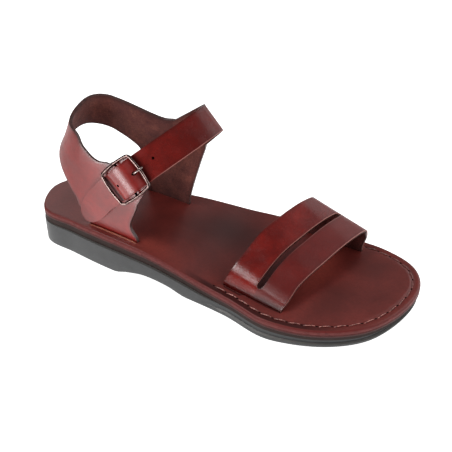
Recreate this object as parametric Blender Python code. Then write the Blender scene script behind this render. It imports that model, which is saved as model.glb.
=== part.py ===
"""Leather sandal for a right foot: rubber unit, midsole, footbed, toe band and a one-piece back upper
whose instep strap folds over and fastens in a wire buckle. Metres, +X to the toe, +Y to the inner side, +Z up."""
import math

import bmesh
import bpy
import numpy as np

MM = 0.001

# Driving sizes
LENGTH = 280.0 * MM            # heel to toe, along the sole
BALL_WIDTH = 109.3 * MM        # outline's width scale at the ball
HEEL_SEAT = 29.0 * MM          # top of the footbed at the heel
BALL_SEAT = 16.0 * MM          # top of the footbed at the ball
ARCH_LIFT = 6.1 * MM           # highest point of the arch's underside
TOE_SPRING = 8.0 * MM          # underside of the toe over the floor
FOOTBED = 5.6 * MM             # thickness of the leather footbed
BAND_HEEL = 4.6 * MM           # midsole thickness at the heel
BAND_BALL = 3.0 * MM           # midsole thickness at the ball
BAND_INSET = 0.4 * MM          # set-back of the midsole's edge
RIM_ROUND = 1.6 * MM           # rounding of the footbed's top rim
SIDE_RECESS = 1.4 * MM         # set-back of the rubber's side in front of the arch
RUBBER_PROUD = 1.4 * MM        # how far the rubber stands out past the footbed at the waist
LIP_SHARE = 0.44               # height of the lip under that set-back, share of the rubber's thickness
BACK_HEIGHT = 86.0 * MM        # crest of the instep strap over the heel seat
TOE_BAND_HEIGHT = 32.5 * MM    # top of the toe band over the ball seat
LIP_SLOPE = 0.08               # height of the slope over that lip, same share
FLOOR_EDGE = 0.9 * MM          # bevel along the floor
UPPER_LEATHER = 2.4 * MM       # thickness of the back upper and of its strap
BAND_LEATHER = 2.7 * MM        # thickness of the toe band
STRAP_WIDTH = 21.5 * MM        # instep strap
WIRE = 2.2 * MM                # buckle frame's wire
BAR_WIRE = 1.8 * MM            # buckle's centre bar
PRONG_WIRE = 1.4 * MM          # buckle's prong
FIT_GAP = 0.3 * MM             # between pieces that lie on each other

STATIONS = 46                  # cross strips along the sole
RIM_STEPS = 3                  # strips round the footbed's top rim

# Outline of the sole seen from above: share of LENGTH from the heel, share of BALL_WIDTH from the axis
OUTLINE = [
    ("heel_back", 0.000, 0.004), ("heel_out_round", 0.033, -0.228), ("heel_out", 0.127, -0.279),
    ("waist_out_back", 0.270, -0.335), ("waist_out", 0.431, -0.363), ("ball_out_back", 0.581, -0.422),
    ("ball_out", 0.700, -0.508), ("toe_out", 0.832, -0.461), ("toe_out_round", 0.931, -0.315),
    ("toe_front", 0.9875, -0.074), ("toe_tip", 0.9986, 0.142), ("toe_in_round", 0.967, 0.305),
    ("toe_in", 0.879, 0.424), ("ball_in", 0.730, 0.466), ("ball_in_back", 0.598, 0.489),
    ("waist_in", 0.438, 0.407), ("waist_in_back", 0.280, 0.297), ("heel_in", 0.130, 0.304),
    ("heel_in_round", 0.037, 0.170),
]

# Footbed's top along the sole: share of LENGTH, share of the fall from HEEL_SEAT to BALL_SEAT
SEAT_FALL = [(0.00, 0.0), (0.257, 0.0), (0.34, 0.14), (0.44, 0.55), (0.536, 0.91), (0.60, 1.0), (0.77, 1.0),
             (0.88, 0.90), (1.0, 0.71)]

# Underside: share of LENGTH, share of ARCH_LIFT, share of TOE_SPRING
UNDERSIDE = [(0.00, 0.0, 0.0), (0.257, 0.0, 0.0), (0.30, 0.60, 0.0), (0.35, 1.0, 0.0), (0.411, 0.70, 0.0),
             (0.475, 0.0, 0.0), (0.70, 0.0, 0.0), (0.75, 0.0, 0.09), (0.84, 0.0, 0.23), (0.93, 0.0, 0.49),
             (1.0, 0.0, 1.0)]

# How far the rubber stands out past the footbed: share of LENGTH, share of RUBBER_PROUD
PROUD = [(0.00, 0.1), (0.15, 0.8), (0.25, 1.0), (0.46, 0.95), (0.68, 0.35), (0.86, -0.45), (1.0, -0.7)]

# Where the rubber's side changes from the plain heel to the set-back forefoot, shares of LENGTH
RECESS_START, RECESS_FULL = 0.50, 0.60

# Form that the back upper follows: a U seen from above, at each height over the heel seat.
# height (share of BACK_HEIGHT), back (share of LENGTH), then half widths (shares of BALL_WIDTH):
# outer side at the heel, outer side at the buckle, inner side at the heel, inner side at the fork
BACK_FORM = [
    (-0.130, 0.0268, 0.249, 0.288, 0.262, 0.254),
    (0.035, 0.0268, 0.249, 0.288, 0.262, 0.254),
    (0.186, 0.0393, 0.249, 0.271, 0.260, 0.2525),
    (0.360, 0.0478, 0.247, 0.238, 0.256, 0.251),
    (0.535, 0.0600, 0.237, 0.192, 0.251, 0.247),
    (0.709, 0.0845, 0.211, 0.134, 0.238, 0.240),
    (0.884, 0.1040, 0.174, 0.069, 0.223, 0.228),
    (1.035, 0.1180, 0.137, 0.009, 0.210, 0.220),
]
TURN_X = 0.1643                # the U's round back ends here, share of LENGTH
BUCKLE_X, FORK_X = 0.3036, 0.3929
TURN_RUN = 0.2143              # run along the form from the heel's middle to TURN_X, share of LENGTH

# Back upper laid on that form, from the outer base round the heel to the inner base.
# Each row is a section: lower edge (run, height), upper edge (run, height);
# runs are shares of LENGTH (negative on the outer side), heights are shares of BACK_HEIGHT
BACK_SECTIONS = [
    ("out_seat", -0.2286, 0.000, -0.3725, 0.000), ("out_foot", -0.2270, 0.035, -0.3680, 0.035),
    ("out_low", -0.2090, 0.116, -0.3545, 0.095), ("out_mid", -0.1965, 0.170, -0.3527, 0.160),
    ("out_fork_front", -0.1900, 0.232, -0.3685, 0.325), ("out_fork_a", -0.1825, 0.262, -0.3464, 0.398),
    ("out_fork_b", -0.1745, 0.291, -0.3250, 0.469), ("out_fork_c", -0.1660, 0.321, -0.3054, 0.540),
    ("out_fork_rear", -0.1555, 0.355, -0.2857, 0.604), ("out_rise_a", -0.1430, 0.390, -0.2600, 0.610),
    ("out_rise_b", -0.1270, 0.425, -0.2410, 0.643), ("out_rise_c", -0.1070, 0.463, -0.2240, 0.695),
    ("heel_out_a", -0.0820, 0.500, -0.1930, 0.785), ("heel_out_b", -0.0500, 0.538, -0.1500, 0.818),
    ("heel_out_c", -0.0180, 0.578, -0.1000, 0.826), ("heel_mid", 0.0143, 0.608, -0.0500, 0.842),
    ("heel_in_a", 0.0464, 0.637, 0.0000, 0.872), ("heel_in_b", 0.0750, 0.642, 0.0430, 0.905),
    ("heel_in_c", 0.1070, 0.628, 0.0820, 0.915), ("side_in_a", 0.1360, 0.608, 0.1180, 0.909),
    ("side_in_b", 0.1610, 0.590, 0.1500, 0.899), ("side_in_c", 0.1860, 0.570, 0.1860, 0.887),
    ("side_in_d", 0.2070, 0.550, 0.2140, 0.878), ("side_in_e", 0.2250, 0.527, 0.2430, 0.862),
    ("side_in_f", 0.2410, 0.503, 0.2710, 0.840), ("side_in_g", 0.2550, 0.477, 0.3000, 0.815),
    ("side_in_h", 0.2680, 0.449, 0.3290, 0.792), ("side_in_i", 0.2770, 0.419, 0.3570, 0.780),
    ("in_fork_rear", 0.2780, 0.384, 0.3840, 0.792), ("in_fork_a", 0.2790, 0.349, 0.4008, 0.758),
    ("in_fork_b", 0.2800, 0.314, 0.4176, 0.724), ("in_fork_c", 0.2812, 0.279, 0.4344, 0.690),
    ("in_fork_d", 0.2824, 0.244, 0.4512, 0.656), ("in_fork_front", 0.2839, 0.209, 0.4680, 0.622),
    ("in_mid", 0.2871, 0.140, 0.4515, 0.440), ("in_low", 0.2893, 0.081, 0.4330, 0.237),
    ("in_foot", 0.2907, 0.035, 0.4190, 0.068), ("in_seat", 0.2914, 0.000, 0.4150, 0.000),
]
ACROSS = 9                     # points across each of those sections
BACK_FINE = 2                  # rows per section
OUTLINE_FINE = 24              # points per span of the outline's curve

# Buckle on the outer quarter: where its middle sits on the form, and heights over the leather
BUCKLE_RUN, BUCKLE_RISE = -0.3382, 0.515
HELD_FROM = 0.6                # behind this share of half the frame the strap lies on the quarter
CHAPE_SPARE = 1.2 * MM         # quarter's end stands out past the strap's edges by this
CHAPE_REACH = 0.80             # and reaches this share of half the frame in front of the bar
CHAPE_STEPS = (0.35, 0.7, 1.0)
BAR_CLEAR = 0.7 * MM           # under and inside the prong's wrap round the bar, together
BAR_HEIGHT = BAR_WIRE / 2 + PRONG_WIRE + BAR_CLEAR
FRAME_CLEAR = 0.5 * MM         # room for the quarter's curve under the flat frame
FRAME_HEIGHT = UPPER_LEATHER + 2 * FIT_GAP + WIRE / 2 + FRAME_CLEAR
FRAME_PLAY = 1.0 * MM          # between the strap's edge and the frame's wire
FRAME_HALF = STRAP_WIDTH / 2 + FRAME_PLAY + WIRE / 2
FRAME_CORNER = 3.0 * MM        # rounding of the frame's corners
CORNER_STEPS = 5
BAR_END = 0.6                  # the bar's ends meet the frame at this share of the way up
BAR_BEND = 1.3                 # length of the bar's cranked ends over their rise
SLEEVE_LEATHER = 1.0 * MM      # thin leather loops over the bar
SLEEVE_SINK = 0.8 * MM         # their legs go into the quarter by this
SLEEVE_HALF = BAR_WIRE / 2 + FIT_GAP + SLEEVE_LEATHER / 2
SLEEVE_INNER_END = PRONG_WIRE / 2 + 3 * FIT_GAP
SLEEVE_OUTER_END = 0.8 * STRAP_WIDTH / 2
SLEEVE_STEPS = 8
HOLE_NEAR, HOLE_FAR = 0.36, 0.70       # prong hole from the bar, shares of half the frame
HOLE_LOW, HOLE_HIGH = 0.35, 2.6        # depth of its cutter, shares of FRAME_HEIGHT
HOLE_SIDES = 8
WRAP_START, WRAP_TURN = 350.0, 260.0   # prong's wrap round the bar, degrees
WRAP_STEPS = 14
# Prong from the wrap to its tip: share of half the frame, share of the rise to the frame's top
PRONG = [(0.24, 0.0), (0.42, 0.2), (0.60, 0.7), (0.80, 1.0), (1.0, 1.0)]
PRONG_TIP = 1.12
WIRE_SIDES, PRONG_SIDES = 10, 8
STEP = 0.0005                  # small step for slopes of the form, share of LENGTH

# Crest of the instep strap, as shares of LENGTH, BALL_WIDTH and BACK_HEIGHT
CREST_REAR = (0.4200, 0.240, 1.003)
CREST_FRONT = (0.4728, 0.217, 0.826)
FOLD_INSIDE = 1.3 * MM         # inner radius of the fold at the crest
FOLD_ROWS = 9
FLIGHT_ROWS = 7
FLIGHT_ARCH = 2.2 * MM         # outward bow of the strap between crest and buckle
RISE_STEPS = (0.34, 0.68)      # rows between the fork and the fold

# Strap through the buckle: run from the bar in half frame widths, outer face over the quarter
# in frame heights (height of the frame's middle plane)
THROUGH = [(1.26, 0.37), (1.00, 0.62), (0.826, 0.83), (0.648, 1.24), (0.445, 1.68), (0.243, 1.85),
           (0.0, 1.90), (-0.243, 1.85), (-0.445, 1.60), (-0.648, 1.10), (-0.826, 0.70), (-1.00, 0.587),
           (-1.26, 0.587)]

# Tail of the strap on the form: rear edge (run, height), front edge (run, height), as in BACK_SECTIONS
TAIL = [
    ("tail_a", -0.2510, 0.400, -0.3010, 0.232), ("tail_b", -0.2330, 0.320, -0.2800, 0.145),
    ("tail_c", -0.2190, 0.240, -0.2610, 0.086), ("tail_d", -0.2120, 0.180, -0.2440, 0.054),
    ("tail_e", -0.2105, 0.130, -0.2310, 0.045), ("tail_tip", -0.2135, 0.090, -0.2215, 0.055),
]

# Toe band from the outer base over the foot to the inner base: rear edge, then front edge, each as
# shares of LENGTH, BALL_WIDTH and TOE_BAND_HEIGHT over the ball seat
TOE_BAND = [
    ("out_root", 0.5611, -0.3156, -0.160, 0.7229, -0.4026, -0.160),
    ("out_seat", 0.5611, -0.3156, 0.000, 0.7229, -0.4026, 0.000),
    ("out_foot", 0.5617, -0.3138, 0.060, 0.7234, -0.4011, 0.035),
    ("out_panel", 0.5650, -0.3040, 0.150, 0.7257, -0.3948, 0.080),
    ("bend_low", 0.5716, -0.2841, 0.286, 0.7300, -0.3834, 0.148),
    ("bend_high", 0.5803, -0.2342, 0.430, 0.7354, -0.3413, 0.240),
    ("out_rise", 0.5896, -0.1519, 0.554, 0.7414, -0.2598, 0.338),
    ("shoulder", 0.6071, -0.0090, 0.770, 0.7571, -0.1510, 0.445),
    ("crown_out", 0.6304, 0.1280, 0.895, 0.7768, -0.0140, 0.510),
    ("crown", 0.6464, 0.2200, 0.955, 0.7929, 0.1010, 0.560),
    ("crown_in", 0.6625, 0.3110, 0.985, 0.8107, 0.2240, 0.590),
    ("crest_in", 0.6768, 0.3930, 0.960, 0.8250, 0.3250, 0.580),
    ("crest", 0.6836, 0.4310, 0.870, 0.8325, 0.3770, 0.515),
    ("drop", 0.6829, 0.4400, 0.640, 0.8339, 0.3910, 0.320),
    ("in_foot", 0.6740, 0.4190, 0.110, 0.8286, 0.3640, 0.110),
    ("in_seat", 0.6738, 0.4180, 0.000, 0.8284, 0.3630, 0.000),
    ("in_root", 0.6738, 0.4180, -0.160, 0.8284, 0.3630, -0.160),
]
BAND_FINE = 3                  # rows per section of the toe band
BAND_COLUMNS = (0.0, 0.04, 0.2, 0.36, 0.64, 0.8, 0.96, 1.0)
SLOT_START, SLOT_END = 4.1, 11.6     # long slot's ends, in sections of TOE_BAND
SLOT_MIDDLE = 0.515            # share of the band's width
SLOT_WIDE, SLOT_NARROW = 0.053, 0.040  # half width at the outer and the inner end, share of that width
SLOT_ROUND = 0.55              # length of the slot's round end, in sections
ROOT_POINTS = 5                # points along each of the band's slots in the footbed


def clear_file():
    for item in list(bpy.data.objects):
        bpy.data.objects.remove(item, do_unlink=True)
    for store in (bpy.data.meshes, bpy.data.materials):
        for item in list(store):
            store.remove(item)


def closed_curve(points, per_span):
    """Closed centripetal Catmull-Rom curve through 2-D points."""
    pts = [np.array(p, float) for p in points]
    count = len(pts)
    out = []
    for i in range(count):
        a, b, c, d = (pts[(i + k - 1) % count] for k in range(4))
        t1 = math.sqrt(np.linalg.norm(b - a))
        t2 = t1 + math.sqrt(np.linalg.norm(c - b))
        t3 = t2 + math.sqrt(np.linalg.norm(d - c))
        for k in range(per_span):
            t = t1 + (t2 - t1) * k / per_span
            ab = (a * (t1 - t) + b * t) / t1
            bc = (b * (t2 - t) + c * (t - t1)) / (t2 - t1)
            cd = (c * (t3 - t) + d * (t - t2)) / (t3 - t2)
            abc = (ab * (t2 - t) + bc * t) / t2
            bcd = (bc * (t3 - t) + cd * (t - t1)) / (t3 - t1)
            out.append((abc * (t2 - t) + bcd * (t - t1)) / (t2 - t1))
    return np.array(out)


def smooth_rows(rows, fine):
    """Catmull-Rom rows between the given rows of numbers; the given rows stay as they are."""
    rows = [np.array(r, float) for r in rows]
    out = []
    for i in range(len(rows) - 1):
        a = rows[max(i - 1, 0)]
        b, c = rows[i], rows[i + 1]
        d = rows[min(i + 2, len(rows) - 1)]
        for k in range(fine):
            t = k / fine
            out.append(0.5 * (2 * b + (c - a) * t + (2 * a - 5 * b + 4 * c - d) * t * t
                              + (3 * b - a - 3 * c + d) * t ** 3))
    out.append(rows[-1])
    return out


class Profile:
    """Monotone cubic through the columns of a table; flat beyond its ends."""

    def __init__(self, table):
        data = np.array(table, float)
        self.x = data[:, 0]
        self.y = data[:, 1:]
        step = np.diff(self.x)[:, None]
        slope = np.diff(self.y, axis=0) / step
        lean = np.zeros_like(self.y)
        for i in range(1, len(self.x) - 1):
            below, above = slope[i - 1], slope[i]
            same = below * above > 0
            blend = 2 * below * above / np.where(same, below + above, 1.0)
            lean[i] = np.where(same, blend, 0.0)
        lean[0], lean[-1] = slope[0], slope[-1]
        self.lean = lean

    def at(self, x):
        x = min(max(x, self.x[0]), self.x[-1])
        i = min(int(np.searchsorted(self.x, x, side="right")) - 1, len(self.x) - 2)
        h = self.x[i + 1] - self.x[i]
        t = (x - self.x[i]) / h
        return ((1 + 2 * t) * (1 - t) ** 2 * self.y[i] + t * (1 - t) ** 2 * h * self.lean[i]
                + t * t * (3 - 2 * t) * self.y[i + 1] + t * t * (t - 1) * h * self.lean[i + 1])


SEAT_CURVE = Profile(SEAT_FALL)
UNDERSIDE_CURVE = Profile(UNDERSIDE)
PROUD_CURVE = Profile(PROUD)
FORM_CURVE = Profile(BACK_FORM)


def unit(v):
    return v / np.linalg.norm(v)


def ramp(value, start, end):
    t = min(max((value - start) / (end - start), 0.0), 1.0)
    return t * t * (3 - 2 * t)


# Heights of the sole's layers at a share u of the length

def seat_top(u):
    return HEEL_SEAT + (BALL_SEAT - HEEL_SEAT) * SEAT_CURVE.at(u)[0]


def seat_base(u):
    return seat_top(u) - FOOTBED


def band_top(u):
    return seat_base(u) - FIT_GAP


def band_base(u):
    thick = BAND_HEEL + (BAND_BALL - BAND_HEEL) * SEAT_CURVE.at(u)[0]
    return band_top(u) - thick


def rubber_top(u):
    return band_base(u) - FIT_GAP


def floor_side(u):
    arch, toe = UNDERSIDE_CURVE.at(u)
    return ARCH_LIFT * arch + TOE_SPRING * toe


def rubber_edge(u):
    return -RUBBER_PROUD * PROUD_CURVE.at(u)[0]


def recess(u):
    return rubber_edge(u) + SIDE_RECESS * ramp(u, RECESS_START, RECESS_FULL)


def outline_pairs():
    """Points of the outer and the inner edge at each station, heel and toe point once."""
    curve = closed_curve([(u * LENGTH, v * BALL_WIDTH) for _, u, v in OUTLINE], OUTLINE_FINE)
    low, high = int(curve[:, 0].argmin()), int(curve[:, 0].argmax())
    start, end = curve[low, 0], curve[high, 0]
    outer = curve[low:high + 1] if low < high else np.vstack([curve[low:], curve[:high + 1]])
    inner = np.vstack([curve[high:], curve[:low + 1]]) if low < high else curve[high:low + 1]
    inner = inner[::-1]
    stretch = LENGTH / (end - start)
    width = np.array([curve[:, 1].min(), curve[:, 1].max()])
    shares = [(1 - math.cos(math.pi * k / STATIONS)) / 2 for k in range(STATIONS + 1)]
    out, inn = [], []
    for u in shares:
        x = start + (end - start) * u
        out.append(((x - start) * stretch, np.interp(x, outer[:, 0], outer[:, 1])))
        inn.append(((x - start) * stretch, np.interp(x, inner[:, 0], inner[:, 1])))
    return np.array(out), np.array(inn), -width.mean()


OUTER_EDGE, INNER_EDGE, SIDE_SHIFT = outline_pairs()


def to_part(x, y, z):
    """From heel-based sole coordinates to the part's frame."""
    return np.array([x - LENGTH / 2, y + SIDE_SHIFT, z])


def ring_plan():
    """Closed outline ring in heel-based coordinates and its outward normals."""
    ring = np.vstack([OUTER_EDGE, INNER_EDGE[1:-1][::-1]])
    along = np.roll(ring, -1, axis=0) - np.roll(ring, 1, axis=0)
    normal = np.stack([along[:, 1], -along[:, 0]], axis=1)
    return ring, normal / np.linalg.norm(normal, axis=1)[:, None]


RING, RING_NORMAL = ring_plan()


def layer(name, levels, material):
    """Sole layer from rings (inset, height) bottom to top; both are functions of the share of length."""
    mesh = bmesh.new()
    rings = []
    for inset, height in levels:
        ring = []
        for point, normal in zip(RING, RING_NORMAL):
            u = point[0] / LENGTH
            x, y = point - normal * inset(u)
            ring.append(mesh.verts.new(to_part(x, y, height(u))))
        rings.append(ring)
    count = len(RING)
    for low, high in zip(rings, rings[1:]):
        for i in range(count):
            j = (i + 1) % count
            mesh.faces.new((low[i], low[j], high[j], high[i]))
    for ring, upward in ((rings[0], False), (rings[-1], True)):
        for i in range(STATIONS):
            quad = [ring[i], ring[i + 1], ring[(count - i - 1) % count], ring[(count - i) % count]]
            face = []
            for vert in quad:
                if vert not in face:
                    face.append(vert)
            mesh.faces.new(face if upward else face[::-1])
    return finish_mesh(name, mesh, material)


def finish_mesh(name, mesh, material, weld=1e-6):
    bmesh.ops.remove_doubles(mesh, verts=mesh.verts, dist=weld)
    data = bpy.data.meshes.new(name)
    mesh.to_mesh(data)
    mesh.free()
    item = bpy.data.objects.new(name, data)
    bpy.context.scene.collection.objects.link(item)
    if material:
        data.materials.append(material)
    for face in data.polygons:
        face.use_smooth = True
    data.set_sharp_from_angle(angle=math.radians(38))
    return item


def as_cutter(item):
    item.hide_render = True
    item.display_type = "WIRE"
    return item


def boolean(item, other, kind):
    step = item.modifiers.new("join" if kind == "UNION" else "cut", "BOOLEAN")
    step.operation = kind
    step.solver = "EXACT"
    step.object = other


def thicken(item, thickness):
    step = item.modifiers.new("leather", "SOLIDIFY")
    step.thickness = thickness
    step.offset = -1.0
    step.use_even_offset = True
    step.use_quality_normals = True


def form_point(run, rise):
    """Outer face of the back upper; run and rise are shares of LENGTH and BACK_HEIGHT."""
    back, out_heel, out_side, in_heel, in_side = FORM_CURVE.at(rise)
    heel, side, full = (in_heel, in_side, FORK_X) if run > 0 else (out_heel, out_side, BUCKLE_X)
    sign = 1.0 if run > 0 else -1.0
    length = abs(run)
    if length <= TURN_RUN:
        angle = length / TURN_RUN * math.pi / 2
        x = TURN_X - (TURN_X - back) * math.cos(angle)
        half = heel * math.sin(angle)
    else:
        x = TURN_X + length - TURN_RUN
        t = (x - TURN_X) / (full - TURN_X)
        ease = t if t > 1 else 0.5 * (t + t * t * (3 - 2 * t))
        half = heel + (side - heel) * ease
    return to_part(x * LENGTH, sign * half * BALL_WIDTH, HEEL_SEAT + rise * BACK_HEIGHT)


def form_frame(run, rise):
    """Point of the form, its outward normal and its unit directions for growing run and rise."""
    step_rise = STEP * LENGTH / BACK_HEIGHT
    along = form_point(run + STEP, rise) - form_point(run - STEP, rise)
    upward = form_point(run, rise + step_rise) - form_point(run, rise - step_rise)
    normal = unit(np.cross(upward, along))
    return form_point(run, rise), normal, unit(along), unit(upward)


def lifted(run, rise, lift):
    point, normal, _, _ = form_frame(run, rise)
    return point + normal * lift


def buckle_axes():
    """Middle of the buckle on the leather, then its strap-wise, across and outward directions."""
    point, normal, along, upward = form_frame(BUCKLE_RUN, BUCKLE_RISE)
    strapwise = unit(upward - along)
    strapwise = unit(strapwise - normal * strapwise.dot(normal))
    return point, strapwise, unit(np.cross(strapwise, normal)), normal


BUCKLE_FOOT, STRAPWISE, CROSSWISE, OUTWARD = buckle_axes()


def in_buckle(strap, across, lift):
    return BUCKLE_FOOT + STRAPWISE * strap + CROSSWISE * across + OUTWARD * lift


def blend_row(rear, front, count):
    return [rear + (front - rear) * k / (count - 1) for k in range(count)]


def add_grid(mesh, rows, joined_to=None):
    """Quads between rows of points; the first row can be vertices that exist already."""
    grid = []
    for i, row in enumerate(rows):
        if i == 0 and joined_to:
            grid.append(joined_to)
        else:
            grid.append([mesh.verts.new(p) for p in row])
    for a, b in zip(grid, grid[1:]):
        for k in range(len(a) - 1):
            mesh.faces.new((a[k], a[k + 1], b[k + 1], b[k]))
    return grid


def seat_share(point):
    return (point[0] + LENGTH / 2) / LENGTH


def sunk(point):
    """The same point taken down to just above the midsole."""
    return np.array([point[0], point[1], seat_base(seat_share(point)) + FIT_GAP])


def on_seat(point, rise=0.0):
    return np.array([point[0], point[1], seat_top(seat_share(point)) + rise])


def back_rows():
    rows = []
    for low_run, low_rise, high_run, high_rise in smooth_rows([r[1:] for r in BACK_SECTIONS], BACK_FINE):
        row = []
        for k in range(ACROSS):
            t = k / (ACROSS - 1)
            row.append(form_point(low_run + (high_run - low_run) * t, low_rise + (high_rise - low_rise) * t))
        rows.append(row)
    names = [r[0] for r in BACK_SECTIONS]
    for end in (0, -1):
        foot = [on_seat(p) for p in rows[end]]
        rows[end] = foot
    rows.insert(0, [sunk(p) for p in rows[0]])
    rows.append([sunk(p) for p in rows[-1]])
    place = {name: 1 + BACK_FINE * i for i, name in enumerate(names)}
    return rows, place


def through_point(run, lift, across):
    """Outer face of the strap in the buckle: flat over the bar and in front, on the quarter behind."""
    strap, rise = run * FRAME_HALF, lift * FRAME_HEIGHT
    flat = in_buckle(strap, across, rise)
    _, _, along, upward = form_frame(BUCKLE_RUN, BUCKLE_RISE)
    diagonal = math.sqrt(2)
    held = lifted(BUCKLE_RUN - (strap + across) / diagonal / LENGTH,
                  BUCKLE_RISE + (strap - across) / diagonal * upward[2] / BACK_HEIGHT, rise)
    return flat + (held - flat) * ramp(-run, 0.0, HELD_FROM)


def fold_arc(base, crest, land):
    """Round fold from the line base-crest to the line crest-land, its outermost point at the crest."""
    radius = UPPER_LEATHER + FOLD_INSIDE
    rise, fall = unit(crest - base), unit(land - crest)
    half = math.acos(rise.dot(fall)) / 2
    corner = crest + unit(rise - fall) * radius * (1 / math.cos(half) - 1)
    rise, fall = unit(corner - base), unit(land - corner)
    half = math.acos(rise.dot(fall)) / 2
    inward = unit(fall - rise)
    middle = corner + inward * radius / math.cos(half)
    level = unit(rise + fall)
    points = []
    for k in range(FOLD_ROWS + 1):
        angle = half * (2 * k / FOLD_ROWS - 1)
        points.append(middle + radius * (level * math.sin(angle) - inward * math.cos(angle)))
    return points


def strap_rows(root):
    """Instep strap from its root row to the tail's tip, outer face, rear edge first."""
    count = len(root)
    rows = []
    rear, front = (to_part(c[0] * LENGTH, c[1] * BALL_WIDTH, HEEL_SEAT + c[2] * BACK_HEIGHT)
                   for c in (CREST_REAR, CREST_FRONT))
    half = STRAP_WIDTH / 2
    land_rear = through_point(*THROUGH[0], -half)
    land_front = through_point(*THROUGH[0], half)
    folds = [fold_arc(root[0], rear, land_rear), fold_arc(root[-1], front, land_front)]
    for t in RISE_STEPS:
        rows.append(blend_row(root[0] + (folds[0][0] - root[0]) * t,
                              root[-1] + (folds[1][0] - root[-1]) * t, count))
    for pair in zip(*folds):
        rows.append(blend_row(pair[0], pair[1], count))
    start = [folds[0][-1], folds[1][-1]]
    bow = unit(np.cross(start[1] - start[0], land_rear - start[0]))
    if bow[2] < 0:
        bow = -bow
    for k in range(1, FLIGHT_ROWS):
        t = k / FLIGHT_ROWS
        lift = bow * FLIGHT_ARCH * math.sin(math.pi * t)
        rows.append(blend_row(start[0] + (land_rear - start[0]) * t + lift,
                              start[1] + (land_front - start[1]) * t + lift, count))
    for run, lift in THROUGH:
        rows.append([through_point(run, lift, half * (2 * k / (count - 1) - 1)) for k in range(count)])
    over = UPPER_LEATHER + FIT_GAP
    for _, rear_run, rear_rise, front_run, front_rise in TAIL:
        row = []
        for k in range(count):
            t = k / (count - 1)
            row.append(lifted(rear_run + (front_run - rear_run) * t,
                              rear_rise + (front_rise - rear_rise) * t, over))
        rows.append(row)
    return rows


def sleeve(side, material):
    """Short leather arch over the centre bar, its legs set into the quarter."""
    lo, hi = side * SLEEVE_INNER_END, side * SLEEVE_OUTER_END
    outer, inner = [], []
    for radius, line in ((SLEEVE_HALF + SLEEVE_LEATHER / 2, outer), (SLEEVE_HALF - SLEEVE_LEATHER / 2, inner)):
        line.append((-radius, -SLEEVE_SINK))
        for k in range(SLEEVE_STEPS + 1):
            angle = math.pi * (1 - k / SLEEVE_STEPS)
            line.append((radius * math.cos(angle), BAR_HEIGHT + radius * math.sin(angle)))
        line.append((radius, -SLEEVE_SINK))
    mesh = bmesh.new()
    rings = []
    for across in (lo, hi):
        rings.append([mesh.verts.new(in_buckle(p, across, q)) for p, q in outer + inner[::-1]])
    count, half = len(rings[0]), len(outer)
    for i in range(count):
        j = (i + 1) % count
        mesh.faces.new((rings[0][i], rings[0][j], rings[1][j], rings[1][i]))
    for ring in rings:
        for i in range(half - 1):
            mesh.faces.new((ring[i], ring[i + 1], ring[count - 2 - i], ring[count - 1 - i]))
    bmesh.ops.recalc_face_normals(mesh, faces=mesh.faces)
    return as_cutter(finish_mesh("sleeve_outer" if side > 0 else "sleeve_inner", mesh, material))


def back_upper(material):
    mesh = bmesh.new()
    rows, place = back_rows()
    grid = add_grid(mesh, rows)
    top = [row[-1] for row in grid]
    chape_root = top[place["out_fork_front"]:place["out_fork_rear"] + 1]
    end_run = CHAPE_REACH * FRAME_HALF
    half = STRAP_WIDTH / 2 + CHAPE_SPARE
    end_front = in_buckle(end_run, half, 0.0)
    end_rear = in_buckle(end_run, -half, 0.0)
    rows = [None]
    for t in CHAPE_STEPS:
        row = []
        for k, vert in enumerate(chape_root):
            start = np.array(vert.co)
            goal = end_front + (end_rear - end_front) * k / (len(chape_root) - 1)
            row.append(start + (goal - start) * t)
        rows.append(row)
    add_grid(mesh, rows, joined_to=chape_root)
    fork = top[place["in_fork_rear"]:place["in_fork_front"] + 1]
    root = [np.array(v.co) for v in fork]
    add_grid(mesh, [root] + strap_rows(root), joined_to=fork)
    bmesh.ops.recalc_face_normals(mesh, faces=mesh.faces)
    probe = max(mesh.faces, key=lambda f: f.calc_center_median().y)
    if probe.normal.y < 0:
        bmesh.ops.reverse_faces(mesh, faces=mesh.faces)
    item = finish_mesh("back_upper", mesh, material)
    thicken(item, UPPER_LEATHER)
    for side in (1, -1):
        boolean(item, sleeve(side, material), "UNION")
    boolean(item, prong_hole(), "DIFFERENCE")
    return item


def prong_hole():
    """Oval cutter through the strap where the prong comes up."""
    near, far, radius = HOLE_NEAR * FRAME_HALF, HOLE_FAR * FRAME_HALF, PRONG_WIRE / 2 + 2 * FIT_GAP
    mesh = bmesh.new()
    rings = []
    for lift in (HOLE_LOW * FRAME_HEIGHT, HOLE_HIGH * FRAME_HEIGHT):
        ring = []
        for middle, turn in ((far, -0.5), (near, 0.5)):
            for k in range(HOLE_SIDES + 1):
                angle = math.pi * (turn + k / HOLE_SIDES)
                ring.append(mesh.verts.new(in_buckle(middle + radius * math.cos(angle),
                                                     radius * math.sin(angle), lift)))
        rings.append(ring)
    count = len(rings[0])
    for i in range(count):
        j = (i + 1) % count
        mesh.faces.new((rings[0][i], rings[0][j], rings[1][j], rings[1][i]))
    mesh.faces.new(rings[0][::-1])
    mesh.faces.new(rings[1])
    bmesh.ops.recalc_face_normals(mesh, faces=mesh.faces)
    return as_cutter(finish_mesh("prong_hole_cutter", mesh, None))


def band_point(u, v, rise):
    """Point of the toe band; near the footbed its height counts from the footbed under it."""
    ground = seat_top(u) + (BALL_SEAT - seat_top(u)) * min(max(rise, 0.0), 1.0)
    return to_part(u * LENGTH, v * BALL_WIDTH, ground + rise * TOE_BAND_HEIGHT)


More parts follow.
